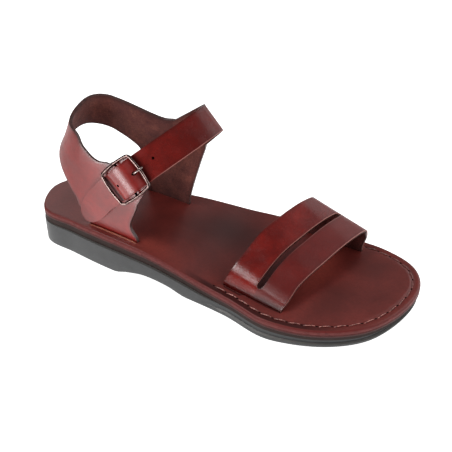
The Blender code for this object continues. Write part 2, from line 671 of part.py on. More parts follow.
def front_strap(material):
    course = Profile([(i, *row[1:]) for i, row in enumerate(TOE_BAND)])
    rows = [course.at(i / BAND_FINE) for i in range((len(TOE_BAND) - 1) * BAND_FINE + 1)]
    mesh = bmesh.new()
    left, right = [], []
    for i, (rx, ry, rz, fx, fy, fz) in enumerate(rows):
        section = i / BAND_FINE
        rear, front = band_point(rx, ry, rz), band_point(fx, fy, fz)
        gap = slot_half(section)
        shares = [v for v in BAND_COLUMNS if v < 0.5] + [SLOT_MIDDLE - gap]
        left.append([rear + (front - rear) * v for v in shares])
        shares = [SLOT_MIDDLE + gap] + [v for v in BAND_COLUMNS if v > 0.5]
        right.append([rear + (front - rear) * v for v in shares])
    for side in (left, right):
        for end in (0, -1):
            side[end] = [sunk(p) for p in side[end]]
        add_grid(mesh, side)
    bmesh.ops.remove_doubles(mesh, verts=mesh.verts, dist=1e-6)
    bmesh.ops.recalc_face_normals(mesh, faces=mesh.faces)
    probe = max(mesh.faces, key=lambda f: f.calc_center_median().z)
    if probe.normal.z < 0:
        bmesh.ops.reverse_faces(mesh, faces=mesh.faces)
    item = finish_mesh("front_strap", mesh, material)
    thicken(item, BAND_LEATHER)
    return item


def slot_half(section):
    """Half width of the long slot at a section, share of the band's width."""
    if not SLOT_START < section < SLOT_END:
        return 0.0
    t = (section - SLOT_START) / (SLOT_END - SLOT_START)
    width = SLOT_WIDE + (SLOT_NARROW - SLOT_WIDE) * t
    near = min(section - SLOT_START, SLOT_END - section, SLOT_ROUND)
    return width * math.sqrt(1 - (1 - near / SLOT_ROUND) ** 2)


def slot_cutter(name, points, thickness):
    """Upright prism round a strap's root: points are its outer face on the seat, in order."""
    clear = FIT_GAP
    line = [np.array(p[:2]) for p in points]
    middle = np.array([np.mean([p[0] for p in points]), SIDE_SHIFT])
    ends = unit(line[-1] - line[0])
    line[0] = line[0] - ends * clear
    line[-1] = line[-1] + ends * clear
    outer, inner = [], []
    for i, p in enumerate(line):
        ahead = unit(line[min(i + 1, len(line) - 1)] - line[max(i - 1, 0)])
        normal = np.array([ahead[1], -ahead[0]])
        if normal.dot(middle - p) > 0:
            normal = -normal
        outer.append(p + normal * clear)
        inner.append(p - normal * (thickness + clear))
    plan = outer + inner[::-1]
    mesh = bmesh.new()
    rings = []
    for rise in (-FOOTBED - 2 * FIT_GAP, 4 * FIT_GAP):
        rings.append([mesh.verts.new((p[0], p[1], seat_top(seat_share(p)) + rise)) for p in plan])
    count = len(plan)
    for i in range(count):
        j = (i + 1) % count
        mesh.faces.new((rings[0][i], rings[0][j], rings[1][j], rings[1][i]))
    for ring in rings:
        for i in range(len(line) - 1):
            mesh.faces.new((ring[i], ring[i + 1], ring[count - 2 - i], ring[count - 1 - i]))
    bmesh.ops.recalc_face_normals(mesh, faces=mesh.faces)
    return as_cutter(finish_mesh(name, mesh, None))


def same(value):
    """The same inset all round."""
    return lambda u: value


def below_seat(drop):
    return lambda u: seat_top(u) - drop


def insole(material):
    levels = [(same(0.0), seat_base)]
    for k in range(RIM_STEPS + 1):
        angle = math.pi / 2 * k / RIM_STEPS
        levels.append((same(RIM_ROUND * (1 - math.cos(angle))), below_seat(RIM_ROUND * (1 - math.sin(angle)))))
    item = layer("insole", levels, material)
    rows, _ = back_rows()
    roots = [("out_slot", rows[1][::2], UPPER_LEATHER), ("in_slot", rows[-2][::2], UPPER_LEATHER)]
    for name, section in (("band_out_slot", TOE_BAND[0]), ("band_in_slot", TOE_BAND[-1])):
        rear = to_part(section[1] * LENGTH, section[2] * BALL_WIDTH, 0.0)
        front = to_part(section[4] * LENGTH, section[5] * BALL_WIDTH, 0.0)
        roots.append((name, blend_row(rear, front, ROOT_POINTS), BAND_LEATHER))
    for name, points, thickness in roots:
        boolean(item, slot_cutter(name, points, thickness), "DIFFERENCE")
    return item


def midsole(material):
    def inset(u):
        return BAND_INSET + max(recess(u), 0.0) / 2

    return layer("midsole", [(inset, band_base), (inset, band_top)], material)


def outsole(material):
    def at_share(share):
        return lambda u: floor_side(u) + share * (rubber_top(u) - floor_side(u))

    levels = [
        (lambda u: rubber_edge(u) + FLOOR_EDGE, floor_side),
        (rubber_edge, lambda u: floor_side(u) + min(FLOOR_EDGE, LIP_SHARE / 2 * (rubber_top(u) - floor_side(u)))),
        (rubber_edge, at_share(LIP_SHARE)),
        (recess, at_share(LIP_SHARE + LIP_SLOPE)),
        (recess, rubber_top),
    ]
    return layer("outsole", levels, material)


def sweep(name, path, radius, sides, closed, material):
    """Round wire along a path that lies in the buckle; each path point is (strap, across, lift)."""
    points = [in_buckle(*p) for p in path]
    count = len(points)
    mesh = bmesh.new()
    rings = []
    side_axis = OUTWARD if closed else CROSSWISE
    for i, p in enumerate(points):
        if closed:
            along = unit(points[(i + 1) % count] - points[i - 1])
        else:
            along = unit(points[min(i + 1, count - 1)] - points[max(i - 1, 0)])
        second = unit(np.cross(along, side_axis))
        ring = []
        for k in range(sides):
            angle = 2 * math.pi * k / sides
            ring.append(mesh.verts.new(p + radius * (side_axis * math.cos(angle) + second * math.sin(angle))))
        rings.append(ring)
    pairs = list(zip(rings, rings[1:])) + ([(rings[-1], rings[0])] if closed else [])
    for a, b in pairs:
        for k in range(sides):
            j = (k + 1) % sides
            mesh.faces.new((a[k], a[j], b[j], b[k]))
    if not closed:
        mesh.faces.new(rings[0])
        mesh.faces.new(rings[-1])
    bmesh.ops.recalc_face_normals(mesh, faces=mesh.faces)
    return finish_mesh(name, mesh, material)


def buckle_frame(material):
    path = []
    straight = FRAME_HALF - FRAME_CORNER
    for quarter in range(4):
        for k in range(CORNER_STEPS + 1):
            angle = math.pi / 2 * (quarter + k / CORNER_STEPS)
            cx = straight * (1 if quarter in (0, 3) else -1)
            cy = straight * (1 if quarter in (0, 1) else -1)
            path.append((cx + FRAME_CORNER * math.cos(angle), cy + FRAME_CORNER * math.sin(angle), FRAME_HEIGHT))
    item = sweep("buckle_frame", path, WIRE / 2, WIRE_SIDES, True, material)
    drop = FRAME_HEIGHT - BAR_HEIGHT
    end, bend = BAR_HEIGHT + drop * BAR_END, FRAME_HALF - BAR_BEND * drop
    bar = [(0.0, -FRAME_HALF, end), (0.0, -bend, BAR_HEIGHT), (0.0, bend, BAR_HEIGHT), (0.0, FRAME_HALF, end)]
    boolean(item, bar_wire(bar, material), "UNION")
    return item


def bar_wire(path, material):
    points = [in_buckle(*p) for p in path]
    mesh = bmesh.new()
    rings = []
    sides = WIRE_SIDES
    for p in points:
        ring = []
        for k in range(sides):
            angle = 2 * math.pi * k / sides
            ring.append(mesh.verts.new(p + BAR_WIRE / 2 * (STRAPWISE * math.cos(angle)
                                                           + OUTWARD * math.sin(angle))))
        rings.append(ring)
    for a, b in zip(rings, rings[1:]):
        for k in range(sides):
            j = (k + 1) % sides
            mesh.faces.new((a[k], a[j], b[j], b[k]))
    mesh.faces.new(rings[0])
    mesh.faces.new(rings[-1])
    bmesh.ops.recalc_face_normals(mesh, faces=mesh.faces)
    return as_cutter(finish_mesh("centre_bar", mesh, material))


def buckle_prong(material):
    wrap = BAR_WIRE / 2 + FIT_GAP + PRONG_WIRE / 2
    path = []
    for k in range(WRAP_STEPS + 1):
        angle = math.radians(WRAP_START - WRAP_TURN * k / WRAP_STEPS)
        path.append((wrap * math.cos(angle), 0.0, BAR_HEIGHT + wrap * math.sin(angle)))
    rest = FRAME_HEIGHT + WIRE / 2 + FIT_GAP + PRONG_WIRE / 2
    top = BAR_HEIGHT + wrap
    path += [(run * FRAME_HALF, 0.0, top + rise * (rest - top)) for run, rise in PRONG]
    path.append((PRONG_TIP * FRAME_HALF, 0.0, rest - PRONG_WIRE / 7))
    return sweep("buckle_prong", path, PRONG_WIRE / 2, PRONG_SIDES, False, material)


def plain_material(name, color, rough, metal=0.0):
    made = bpy.data.materials.new(name)
    made.use_nodes = True
    shader = made.node_tree.nodes["Principled BSDF"]
    shader.inputs["Base Color"].default_value = (*color, 1.0)
    shader.inputs["Roughness"].default_value = rough
    shader.inputs["Metallic"].default_value = metal
    return made


def build():
    clear_file()
    rubber = plain_material("rubber_black", (0.05, 0.05, 0.05), 0.6)
    band = plain_material("band_matte", (0.06, 0.05, 0.045), 0.8)
    footbed = plain_material("footbed_leather", (0.09, 0.025, 0.025), 0.4)
    toe = plain_material("toe_band_leather", (0.16, 0.02, 0.015), 0.3)
    back = plain_material("back_upper_leather", (0.17, 0.022, 0.016), 0.3)
    frame = plain_material("buckle_metal", (0.10, 0.07, 0.06), 0.3, 1.0)
    prong = plain_material("prong_metal", (0.11, 0.08, 0.07), 0.3, 1.0)
    outsole(rubber)
    midsole(band)
    insole(footbed)
    front_strap(toe)
    back_upper(back)
    buckle_frame(frame)
    buckle_prong(prong)


build()
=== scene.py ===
"""Looks of the leather sandal: finer leather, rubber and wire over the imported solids, camera and light."""
import math

import bmesh
import bpy
import numpy as np
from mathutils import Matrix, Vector
from mathutils.kdtree import KDTree


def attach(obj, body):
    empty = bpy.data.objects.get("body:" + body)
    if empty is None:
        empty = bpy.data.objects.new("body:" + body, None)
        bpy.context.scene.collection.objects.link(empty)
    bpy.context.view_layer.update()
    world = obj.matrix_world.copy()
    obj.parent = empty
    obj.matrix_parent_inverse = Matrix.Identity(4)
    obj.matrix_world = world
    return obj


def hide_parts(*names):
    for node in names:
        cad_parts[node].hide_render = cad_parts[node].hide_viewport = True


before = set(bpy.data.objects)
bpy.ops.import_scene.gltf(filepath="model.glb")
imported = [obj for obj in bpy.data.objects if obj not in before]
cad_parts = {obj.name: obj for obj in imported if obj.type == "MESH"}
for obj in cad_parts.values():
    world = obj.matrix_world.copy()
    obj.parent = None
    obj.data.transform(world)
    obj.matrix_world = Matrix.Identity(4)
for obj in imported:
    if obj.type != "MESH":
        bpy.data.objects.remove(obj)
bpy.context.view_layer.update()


MM = 0.001

# Driving sizes
LENGTH = 280.0 * MM            # heel to toe, along the sole
BALL_WIDTH = 109.3 * MM        # outline's width scale at the ball
HEEL_SEAT = 29.0 * MM          # top of the footbed at the heel
BALL_SEAT = 16.0 * MM          # top of the footbed at the ball
ARCH_LIFT = 6.1 * MM           # highest point of the arch's underside
TOE_SPRING = 8.0 * MM          # underside of the toe over the floor
FOOTBED = 5.6 * MM             # thickness of the leather footbed
BAND_HEEL = 4.6 * MM           # midsole thickness at the heel
BAND_BALL = 3.0 * MM           # midsole thickness at the ball
BAND_INSET = 0.4 * MM          # set-back of the midsole's edge
RIM_ROUND = 1.6 * MM           # rounding of the footbed's top rim
SIDE_RECESS = 1.4 * MM         # set-back of the rubber's side in front of the arch
RUBBER_PROUD = 1.4 * MM        # how far the rubber stands out past the footbed at the waist
LIP_SHARE = 0.44               # height of the lip under that set-back, share of the rubber's thickness
BACK_HEIGHT = 86.0 * MM        # crest of the instep strap over the heel seat
TOE_BAND_HEIGHT = 32.5 * MM    # top of the toe band over the ball seat
LIP_SLOPE = 0.08               # height of the slope over that lip, same share
FLOOR_EDGE = 0.9 * MM          # bevel along the floor
UPPER_LEATHER = 2.4 * MM       # thickness of the back upper and of its strap
BAND_LEATHER = 2.7 * MM        # thickness of the toe band
STRAP_WIDTH = 21.5 * MM        # instep strap
WIRE = 2.2 * MM                # buckle frame's wire
BAR_WIRE = 1.8 * MM            # buckle's centre bar
PRONG_WIRE = 1.4 * MM          # buckle's prong
FIT_GAP = 0.3 * MM             # between pieces that lie on each other

STATIONS = 120                 # cross strips along the sole

# Outline of the sole seen from above: share of LENGTH from the heel, share of BALL_WIDTH from the axis
OUTLINE = [
    ("heel_back", 0.000, 0.004), ("heel_out_round", 0.033, -0.228), ("heel_out", 0.127, -0.279),
    ("waist_out_back", 0.270, -0.335), ("waist_out", 0.431, -0.363), ("ball_out_back", 0.581, -0.422),
    ("ball_out", 0.700, -0.508), ("toe_out", 0.832, -0.461), ("toe_out_round", 0.931, -0.315),
    ("toe_front", 0.9875, -0.074), ("toe_tip", 0.9986, 0.142), ("toe_in_round", 0.967, 0.305),
    ("toe_in", 0.879, 0.424), ("ball_in", 0.730, 0.466), ("ball_in_back", 0.598, 0.489),
    ("waist_in", 0.438, 0.407), ("waist_in_back", 0.280, 0.297), ("heel_in", 0.130, 0.304),
    ("heel_in_round", 0.037, 0.170),
]

# Footbed's top along the sole: share of LENGTH, share of the fall from HEEL_SEAT to BALL_SEAT
SEAT_FALL = [(0.00, 0.0), (0.257, 0.0), (0.34, 0.14), (0.44, 0.55), (0.536, 0.91), (0.60, 1.0), (0.77, 1.0),
             (0.88, 0.90), (1.0, 0.71)]

# Underside: share of LENGTH, share of ARCH_LIFT, share of TOE_SPRING
UNDERSIDE = [(0.00, 0.0, 0.0), (0.257, 0.0, 0.0), (0.30, 0.60, 0.0), (0.35, 1.0, 0.0), (0.411, 0.70, 0.0),
             (0.475, 0.0, 0.0), (0.70, 0.0, 0.0), (0.75, 0.0, 0.09), (0.84, 0.0, 0.23), (0.93, 0.0, 0.49),
             (1.0, 0.0, 1.0)]

# How far the rubber stands out past the footbed: share of LENGTH, share of RUBBER_PROUD
PROUD = [(0.00, 0.1), (0.15, 0.8), (0.25, 1.0), (0.46, 0.95), (0.68, 0.35), (0.86, -0.45), (1.0, -0.7)]

# Where the rubber's side changes from the plain heel to the set-back forefoot, shares of LENGTH
RECESS_START, RECESS_FULL = 0.50, 0.60

# Form that the back upper follows: a U seen from above, at each height over the heel seat.
# height (share of BACK_HEIGHT), back (share of LENGTH), then half widths (shares of BALL_WIDTH):
# outer side at the heel, outer side at the buckle, inner side at the heel, inner side at the fork
BACK_FORM = [
    (-0.130, 0.0268, 0.249, 0.288, 0.262, 0.254),
    (0.035, 0.0268, 0.249, 0.288, 0.262, 0.254),
    (0.186, 0.0393, 0.249, 0.271, 0.260, 0.2525),
    (0.360, 0.0478, 0.247, 0.238, 0.256, 0.251),
    (0.535, 0.0600, 0.237, 0.192, 0.251, 0.247),
    (0.709, 0.0845, 0.211, 0.134, 0.238, 0.240),
    (0.884, 0.1040, 0.174, 0.069, 0.223, 0.228),
    (1.035, 0.1180, 0.137, 0.009, 0.210, 0.220),
]
TURN_X = 0.1643                # the U's round back ends here, share of LENGTH
BUCKLE_X, FORK_X = 0.3036, 0.3929
TURN_RUN = 0.2143              # run along the form from the heel's middle to TURN_X, share of LENGTH

# Back upper laid on that form, from the outer base round the heel to the inner base.
# Each row is a section: lower edge (run, height), upper edge (run, height);
# runs are shares of LENGTH (negative on the outer side), heights are shares of BACK_HEIGHT
BACK_SECTIONS = [
    ("out_seat", -0.2286, 0.000, -0.3725, 0.000), ("out_foot", -0.2270, 0.035, -0.3680, 0.035),
    ("out_low", -0.2090, 0.116, -0.3545, 0.095), ("out_mid", -0.1965, 0.170, -0.3527, 0.160),
    ("out_fork_front", -0.1900, 0.232, -0.3685, 0.325), ("out_fork_a", -0.1825, 0.262, -0.3464, 0.398),
    ("out_fork_b", -0.1745, 0.291, -0.3250, 0.469), ("out_fork_c", -0.1660, 0.321, -0.3054, 0.540),
    ("out_fork_rear", -0.1555, 0.355, -0.2857, 0.604), ("out_rise_a", -0.1430, 0.390, -0.2600, 0.610),
    ("out_rise_b", -0.1270, 0.425, -0.2410, 0.643), ("out_rise_c", -0.1070, 0.463, -0.2240, 0.695),
    ("heel_out_a", -0.0820, 0.500, -0.1930, 0.785), ("heel_out_b", -0.0500, 0.538, -0.1500, 0.818),
    ("heel_out_c", -0.0180, 0.578, -0.1000, 0.826), ("heel_mid", 0.0143, 0.608, -0.0500, 0.842),
    ("heel_in_a", 0.0464, 0.637, 0.0000, 0.872), ("heel_in_b", 0.0750, 0.642, 0.0430, 0.905),
    ("heel_in_c", 0.1070, 0.628, 0.0820, 0.915), ("side_in_a", 0.1360, 0.608, 0.1180, 0.909),
    ("side_in_b", 0.1610, 0.590, 0.1500, 0.899), ("side_in_c", 0.1860, 0.570, 0.1860, 0.887),
    ("side_in_d", 0.2070, 0.550, 0.2140, 0.878), ("side_in_e", 0.2250, 0.527, 0.2430, 0.862),
    ("side_in_f", 0.2410, 0.503, 0.2710, 0.840), ("side_in_g", 0.2550, 0.477, 0.3000, 0.815),
    ("side_in_h", 0.2680, 0.449, 0.3290, 0.792), ("side_in_i", 0.2770, 0.419, 0.3570, 0.780),
    ("in_fork_rear", 0.2780, 0.384, 0.3840, 0.792), ("in_fork_a", 0.2790, 0.349, 0.4008, 0.758),
    ("in_fork_b", 0.2800, 0.314, 0.4176, 0.724), ("in_fork_c", 0.2812, 0.279, 0.4344, 0.690),
    ("in_fork_d", 0.2824, 0.244, 0.4512, 0.656), ("in_fork_front", 0.2839, 0.209, 0.4680, 0.622),
    ("in_mid", 0.2871, 0.140, 0.4515, 0.440), ("in_low", 0.2893, 0.081, 0.4330, 0.237),
    ("in_foot", 0.2907, 0.035, 0.4190, 0.068), ("in_seat", 0.2914, 0.000, 0.4150, 0.000),
]
ACROSS = 17                    # points across each of those sections

# Buckle on the outer quarter: where its middle sits on the form, and heights over the leather
BUCKLE_RUN, BUCKLE_RISE = -0.3382, 0.515
CHAPE_SPARE = 1.2 * MM         # quarter's end stands out past the strap's edges by this
HELD_FROM = 0.6                # behind this share of half the frame the strap lies on the quarter
STEP = 0.0005                  # small step for slopes of the form, share of LENGTH

# Crest of the instep strap, as shares of LENGTH, BALL_WIDTH and BACK_HEIGHT
CREST_REAR = (0.4200, 0.240, 1.003)
CREST_FRONT = (0.4728, 0.217, 0.826)
FOLD_INSIDE = 1.3 * MM         # inner radius of the fold at the crest
FOLD_ROWS = 14
FLIGHT_ROWS = 8
FLIGHT_ARCH = 2.2 * MM         # outward bow of the strap between crest and buckle

# Strap through the buckle: run from the bar in half frame widths, outer face over the quarter
# in frame heights (height of the frame's middle plane)
THROUGH = [(1.26, 0.37), (1.00, 0.62), (0.826, 0.83), (0.648, 1.24), (0.445, 1.68), (0.243, 1.85),
           (0.0, 1.90), (-0.243, 1.85), (-0.445, 1.60), (-0.648, 1.10), (-0.826, 0.70), (-1.00, 0.587),
           (-1.26, 0.587)]

# Tail of the strap on the form: rear edge (run, height), front edge (run, height), as in BACK_SECTIONS
TAIL = [
    ("tail_a", -0.2510, 0.400, -0.3010, 0.232), ("tail_b", -0.2330, 0.320, -0.2800, 0.145),
    ("tail_c", -0.2190, 0.240, -0.2610, 0.086), ("tail_d", -0.2120, 0.180, -0.2440, 0.054),
    ("tail_e", -0.2105, 0.130, -0.2310, 0.045), ("tail_tip", -0.2135, 0.090, -0.2215, 0.055),
]

# Toe band from the outer base over the foot to the inner base: rear edge, then front edge, each as
# shares of LENGTH, BALL_WIDTH and TOE_BAND_HEIGHT over the ball seat
TOE_BAND = [
    ("out_root", 0.5611, -0.3156, -0.160, 0.7229, -0.4026, -0.160),
    ("out_seat", 0.5611, -0.3156, 0.000, 0.7229, -0.4026, 0.000),
    ("out_foot", 0.5617, -0.3138, 0.060, 0.7234, -0.4011, 0.035),
    ("out_panel", 0.5650, -0.3040, 0.150, 0.7257, -0.3948, 0.080),
    ("bend_low", 0.5716, -0.2841, 0.286, 0.7300, -0.3834, 0.148),
    ("bend_high", 0.5803, -0.2342, 0.430, 0.7354, -0.3413, 0.240),
    ("out_rise", 0.5896, -0.1519, 0.554, 0.7414, -0.2598, 0.338),
    ("shoulder", 0.6071, -0.0090, 0.770, 0.7571, -0.1510, 0.445),
    ("crown_out", 0.6304, 0.1280, 0.895, 0.7768, -0.0140, 0.510),
    ("crown", 0.6464, 0.2200, 0.955, 0.7929, 0.1010, 0.560),
    ("crown_in", 0.6625, 0.3110, 0.985, 0.8107, 0.2240, 0.590),
    ("crest_in", 0.6768, 0.3930, 0.960, 0.8250, 0.3250, 0.580),
    ("crest", 0.6836, 0.4310, 0.870, 0.8325, 0.3770, 0.515),
    ("drop", 0.6829, 0.4400, 0.640, 0.8339, 0.3910, 0.320),
    ("in_foot", 0.6740, 0.4190, 0.110, 0.8286, 0.3640, 0.110),
    ("in_seat", 0.6738, 0.4180, 0.000, 0.8284, 0.3630, 0.000),
    ("in_root", 0.6738, 0.4180, -0.160, 0.8284, 0.3630, -0.160),
]
BAND_FINE = 6                  # rows per section of the toe band
BAND_COLUMNS = (0.0, 0.02, 0.06, 0.12, 0.2, 0.28, 0.36, 0.43, 0.6, 0.67, 0.74, 0.81, 0.88, 0.94, 0.98, 1.0)
SLOT_START, SLOT_END = 4.1, 11.6     # long slot's ends, in sections of TOE_BAND
SLOT_MIDDLE = 0.515            # share of the band's width
SLOT_WIDE, SLOT_NARROW = 0.053, 0.040  # half width at the outer and the inner end, share of that width
SLOT_ROUND = 0.55              # length of the slot's round end, in sections

OUTLINE_FINE = 24              # points per span of the outline
BACK_FINE = 4                  # rows per section of the back upper
RISE_STEPS = (0.34, 0.68)      # the strap's rows between its root and the fold, shares of the way
CHAPE_ROWS = 6                 # rows of the outer quarter's end, up to the buckle
CHAPE_END = 0.80               # where that end stops, share of half the frame
ROOT_POINTS = 9                # across the toe band's roots
# Steps of the footbed's rim, columns of its top, rows per row of the strap, sides of the wires
RIM_STEPS, SEAT_COLUMNS, STRAP_FINE, WIRE_SIDES = ((7, 30, 3, 20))
# Steps of these roundings: rubber's lower edge, straps' edges, sleeves, frame's corners, prong's wrap
FLOOR_STEPS, ROUND_STEPS, SLEEVE_STEPS, CORNER_STEPS, WRAP_STEPS = 4, 3, 16, 8, 24
PRONG_FINE = 3                 # places of the prong per place of its path
# Sides of the raw edge at a slot, the thread, the holes between stitches and the punches
LIP_SIDES, THREAD_SIDES, HOLE_SIDES, PUNCH_SIDES = 12, 8, 12, 20

# Buckle, its bar's sleeves and the room round them
BAR_CLEAR = 0.7 * MM           # under and inside the prong's wrap round the bar, together
BAR_HEIGHT = BAR_WIRE / 2 + PRONG_WIRE + BAR_CLEAR
FRAME_CLEAR = 0.5 * MM         # room for the quarter's curve under the flat frame
FRAME_HEIGHT = UPPER_LEATHER + 2 * FIT_GAP + WIRE / 2 + FRAME_CLEAR
FRAME_PLAY = 1.0 * MM          # between the strap's edge and the frame's wire
FRAME_HALF = STRAP_WIDTH / 2 + FRAME_PLAY + WIRE / 2
FRAME_CORNER = 3.0 * MM
FRAME_BOW = 0.8 * MM           # outward bow of the frame's sides
BAR_ENDS = ((0.0, 0.6), (1.3, 0.0))    # bar's end and bend: in from the frame, up; shares of its depth
SLEEVE_LEATHER = 1.0 * MM
SLEEVE_SINK = 0.8 * MM
SLEEVE_HALF = BAR_WIRE / 2 + FIT_GAP + SLEEVE_LEATHER / 2
SLEEVE_INNER_END = PRONG_WIRE / 2 + 3 * FIT_GAP
SLEEVE_OUTER_END = 0.8 * STRAP_WIDTH / 2
PRONG_WRAP = (350.0, 90.0)     # from and to this angle round the bar, degrees
# Prong after that: run in half frame widths, share of the rise to the frame's top, wires over that
PRONG_PATH = ((0.24, 0.0, 0.0), (0.54, 0.0, 0.0), (0.70, 0.7, 0.0), (0.82, 1.0, 0.25), (1.00, 1.0, 0.125),
              (1.14, 1.0, -0.125), (1.24, 1.0, -0.6), (1.27, 1.0, -1.3))
PRONG_TIP = (0.9, 0.55)        # thickness of the prong's last two places, share of its wire

# Looks that the solids leave out
WELD = 0.001 * MM              # points closer than this are one
SHARP_DRAWN, SHARP_CUT = 38, 40   # edges sharper than this stay sharp, degrees, before and after modifiers
EDGE_ROUND = 0.6 * MM          # rounding of the straps' cut edges
ROUND_OVER = 50                # degrees; only edges sharper than this are rounded
SLOT_GAPE = 0.7 * MM           # slot's outer wall stands this far from the strap
SLOT_CUT_TOP = 2.5 * MM        # the slots' cutters reach this far over the footbed
SLOT_LIP_COLUMN = 0.012        # extra column beside the toe band's slot, share of the band's width
SLOT_END_ROWS = (0.0, 0.03, 0.1, 0.2, 0.34, 0.5, 0.7, 1.0)   # rows in the slot's round end, shares of it
LAYER_LAP = 0.8 * FIT_GAP      # each layer of the sole goes up into the gap under the next by this
# Rubber's side: share of the set-back, height as a share of the rubber's thickness
RUBBER_SIDE = ((0.0, LIP_SHARE - 0.02), (0.3, LIP_SHARE + 0.01), (1.0, LIP_SHARE + LIP_SLOPE), (1.0, 0.9))
RUBBER_TUCK = 0.1 * MM         # set-back of its top edge
BASE_EDGE = (0.25 * MM, 0.35 * MM)     # bevel of the footbed's lower edge: set-back and height
# Lines pressed in the footbed's side: share of the side's height, set-back in mm
SIDE_LINE = ((0.50, 0.0), (0.56, 0.14), (0.62, 0.0), (0.92, 0.0))
SEAT_RINGS = (2.6, 3.6, 4.2, 4.7, 5.2, 5.7, 6.3, 7.3)        # set-back in mm; close beside the stitches
SEAT_SKIN = 0.3 * MM           # the relief of the footbed moves only what lies this close under its top
SLOT_LIPS = (("quarter_out", 0.9 * MM, 2.4 * MM), ("toe_out", 0.2 * MM, 2.0 * MM))   # slot, height, reach
LIP_INSIDE = 2.0 * MM          # those lips end this far inside the slot's line
LIP_BEAD = 0.75 * MM           # half thickness of the raw edge beside the outer quarter
LIP_BEAD_OUT = 0.6             # how far it lies outside the slot's wall, share of that
LIP_BEAD_SINK = 0.35           # how deep it lies in the leather, same share
SEAT_DIPS = ((-104.0, 0.0, 26.0, 20.0, 0.5), (34.0, 4.0, 30.0, 28.0, 0.4))   # as SEAT_PATCHES, depth in mm
# Paler (above 0) and darker (below 0) places of the footbed: x, y, half length, half width in mm, strength.
# The paler ones are painted light under the toe band and beside the outer quarter
SEAT_PATCHES = (
    ("waist", -2.0, 20.0, 34.0, 26.0, -0.85), ("by_quarter", -42.0, -28.0, 16.0, 8.0, 0.45),
    ("under_band", 70.0, 10.0, 11.0, 30.0, 1.0), ("before_band", 84.0, -16.0, 19.0, 22.0, -0.5),
    ("toe_outer", 112.0, -8.0, 18.0, 20.0, -0.2),
    ("toe_inner", 104.0, 22.0, 18.0, 14.0, -0.45), ("heel", -118.0, 6.0, 20.0, 22.0, -0.4),
)
BORDER_DARK = 0.85             # darker border outside the stitches
BORDER_REACH = (("Y", (-0.024, -0.036)), ("X", (-0.012, 0.006)), ("X", (0.110, 0.080)))  # metres
CAP_INSET = 12.0               # the footbed's middle counts as this far in, mm
STITCH_START, STITCH_END = 0.527, 0.826   # shares of LENGTH on the outer and the inner side
STITCH_INSET = 5.2 * MM
STITCH_PITCH = 9.6 * MM
STITCH_SPARE = 1.6 * MM        # between one stitch and the next
STITCH_SLANT = 0.9 * MM
STITCH_LIFT = 0.25 * MM
STITCH_POINTS = 9              # along one stitch
THREAD = 0.32 * MM             # half thickness of the thread
THREAD_END = 0.55              # share of that at a stitch's ends
THREAD_SINK = 0.8              # how deep its ends lie in the trough's bottom, same share
THREAD_COLOR = (0.68, 0.28, 0.24)
THREAD_INNER_SHADE = (0.16, 0.045, 0.038)     # painted shade: darker thread on the inner side
HOLE_LONG, HOLE_WIDE = 0.9 * MM, 0.55 * MM     # half sizes of the dark discs at the needle holes between the stitches, painted shade
HOLE_DEPTH = 0.75              # share of TROUGH_DEPTH
TROUGH_DEPTH, TROUGH_WIDTH = 0.6 * MM, 1.2 * MM
TROUGH_MARKS = 600             # points along the trough
SPARE_ON_TAIL = (-5.3 * MM, 0.3 * MM)   # strapwise and across from the buckle's middle
SPARE_ON_STRAP = (-43.7, -12.6, 89.1)   # mm in the part's frame
SPARE_HOLE = 0.95 * MM         # its radius
HOLE_RUN = 0.70                # prong hole from the bar, share of half the frame
HOLE_REACH = 1.7 * MM          # half its length
HOLE_PLAY = 0.5 * MM           # beside the prong
HOLE_LIFT, SPARE_LIFT = 1.6, 1.5       # middles of the punches in the buckle, shares of FRAME_HEIGHT
PUNCH_SHALLOW = 0.7            # the strap's spare hole is punched this deep, share of the leather
FLIGHT_NORMAL = np.array((0.35, -0.76, 0.55))  # of the strap between crest and buckle
FLIGHT_ALONG = np.array((0.73, 0.59, 0.35))
# name, start and end in the part's frame, width and height; mm
CREASES = (
    ("quarter_ripple", (-104.0, -24.0, 74.0), (-90.0, -30.0, 44.0), 3.2, -0.16),
    ("quarter_swell", (-97.0, -26.0, 78.0), (-80.0, -30.0, 40.0), 3.6, 0.12),
    ("heel_dent", (-118.0, -8.0, 84.0), (-114.0, 6.0, 92.0), 5.0, -0.12),
    ("strap_wave_a", (-36.0, -12.0, 94.0), (-28.0, -6.0, 84.0), 3.0, -0.22),
    ("strap_wave_b", (-30.0, 6.0, 104.0), (-16.0, 10.0, 92.0), 3.4, 0.20),
    ("inner_ripple", (-60.0, 32.0, 90.0), (-70.0, 30.0, 44.0), 4.5, 0.35),
    ("inner_trough", (-40.0, 30.0, 92.0), (-52.0, 29.0, 40.0), 4.0, -0.30),
    ("crest_roll", (-20.5, 24.0, 113.5), (-8.0, 23.5, 99.5), 5.4, -1.0),
    ("toe_wave_a", (30.0, -6.0, 38.0), (72.0, -4.0, 33.0), 4.0, -0.10),
    ("toe_wave_b", (44.0, 18.0, 44.0), (80.0, 20.0, 37.0), 5.0, 0.10),
)

# Tones and gloss
EDGE_HIGHLIGHT = (0.50, 0.21, 0.18)   # painted highlight: lit line along the cut edges where they face the toe
TAIL_EDGE = (0.26, 0.048, 0.042)       # cut edge of the strap's tail
UNDER_FRAME = (0.010, 0.0012, 0.0010)  # strap in the buckle frame's shade
LIT_EDGE = (0.0, 0.35)         # how much an edge faces the toe where its painted highlight starts and ends
# Metres between which the instep strap's look sets in, and the heel strap's turns into the quarters'
STRAP_FROM_X, STRAP_FROM_Z = (-0.056, -0.047), (0.075, 0.083)
HEEL_TO_SIDE = (-0.126, -0.078)
DULLER, HAZIER = 0.10, 0.75    # roughness added and specular level off the instep strap
HEEL_SHARE = 0.12              # how much of that, and of the painted light on the tone, the heel strap has
STRAP_HAZE = 0.42              # specular level on the instep strap
FRONT_DULLER, FRONT_DARKER = 0.14, 0.55        # front strip of the toe band
BAND_FOOT = (0.0178, 0.0205)   # heights in metres between which the band's shaded foot ends
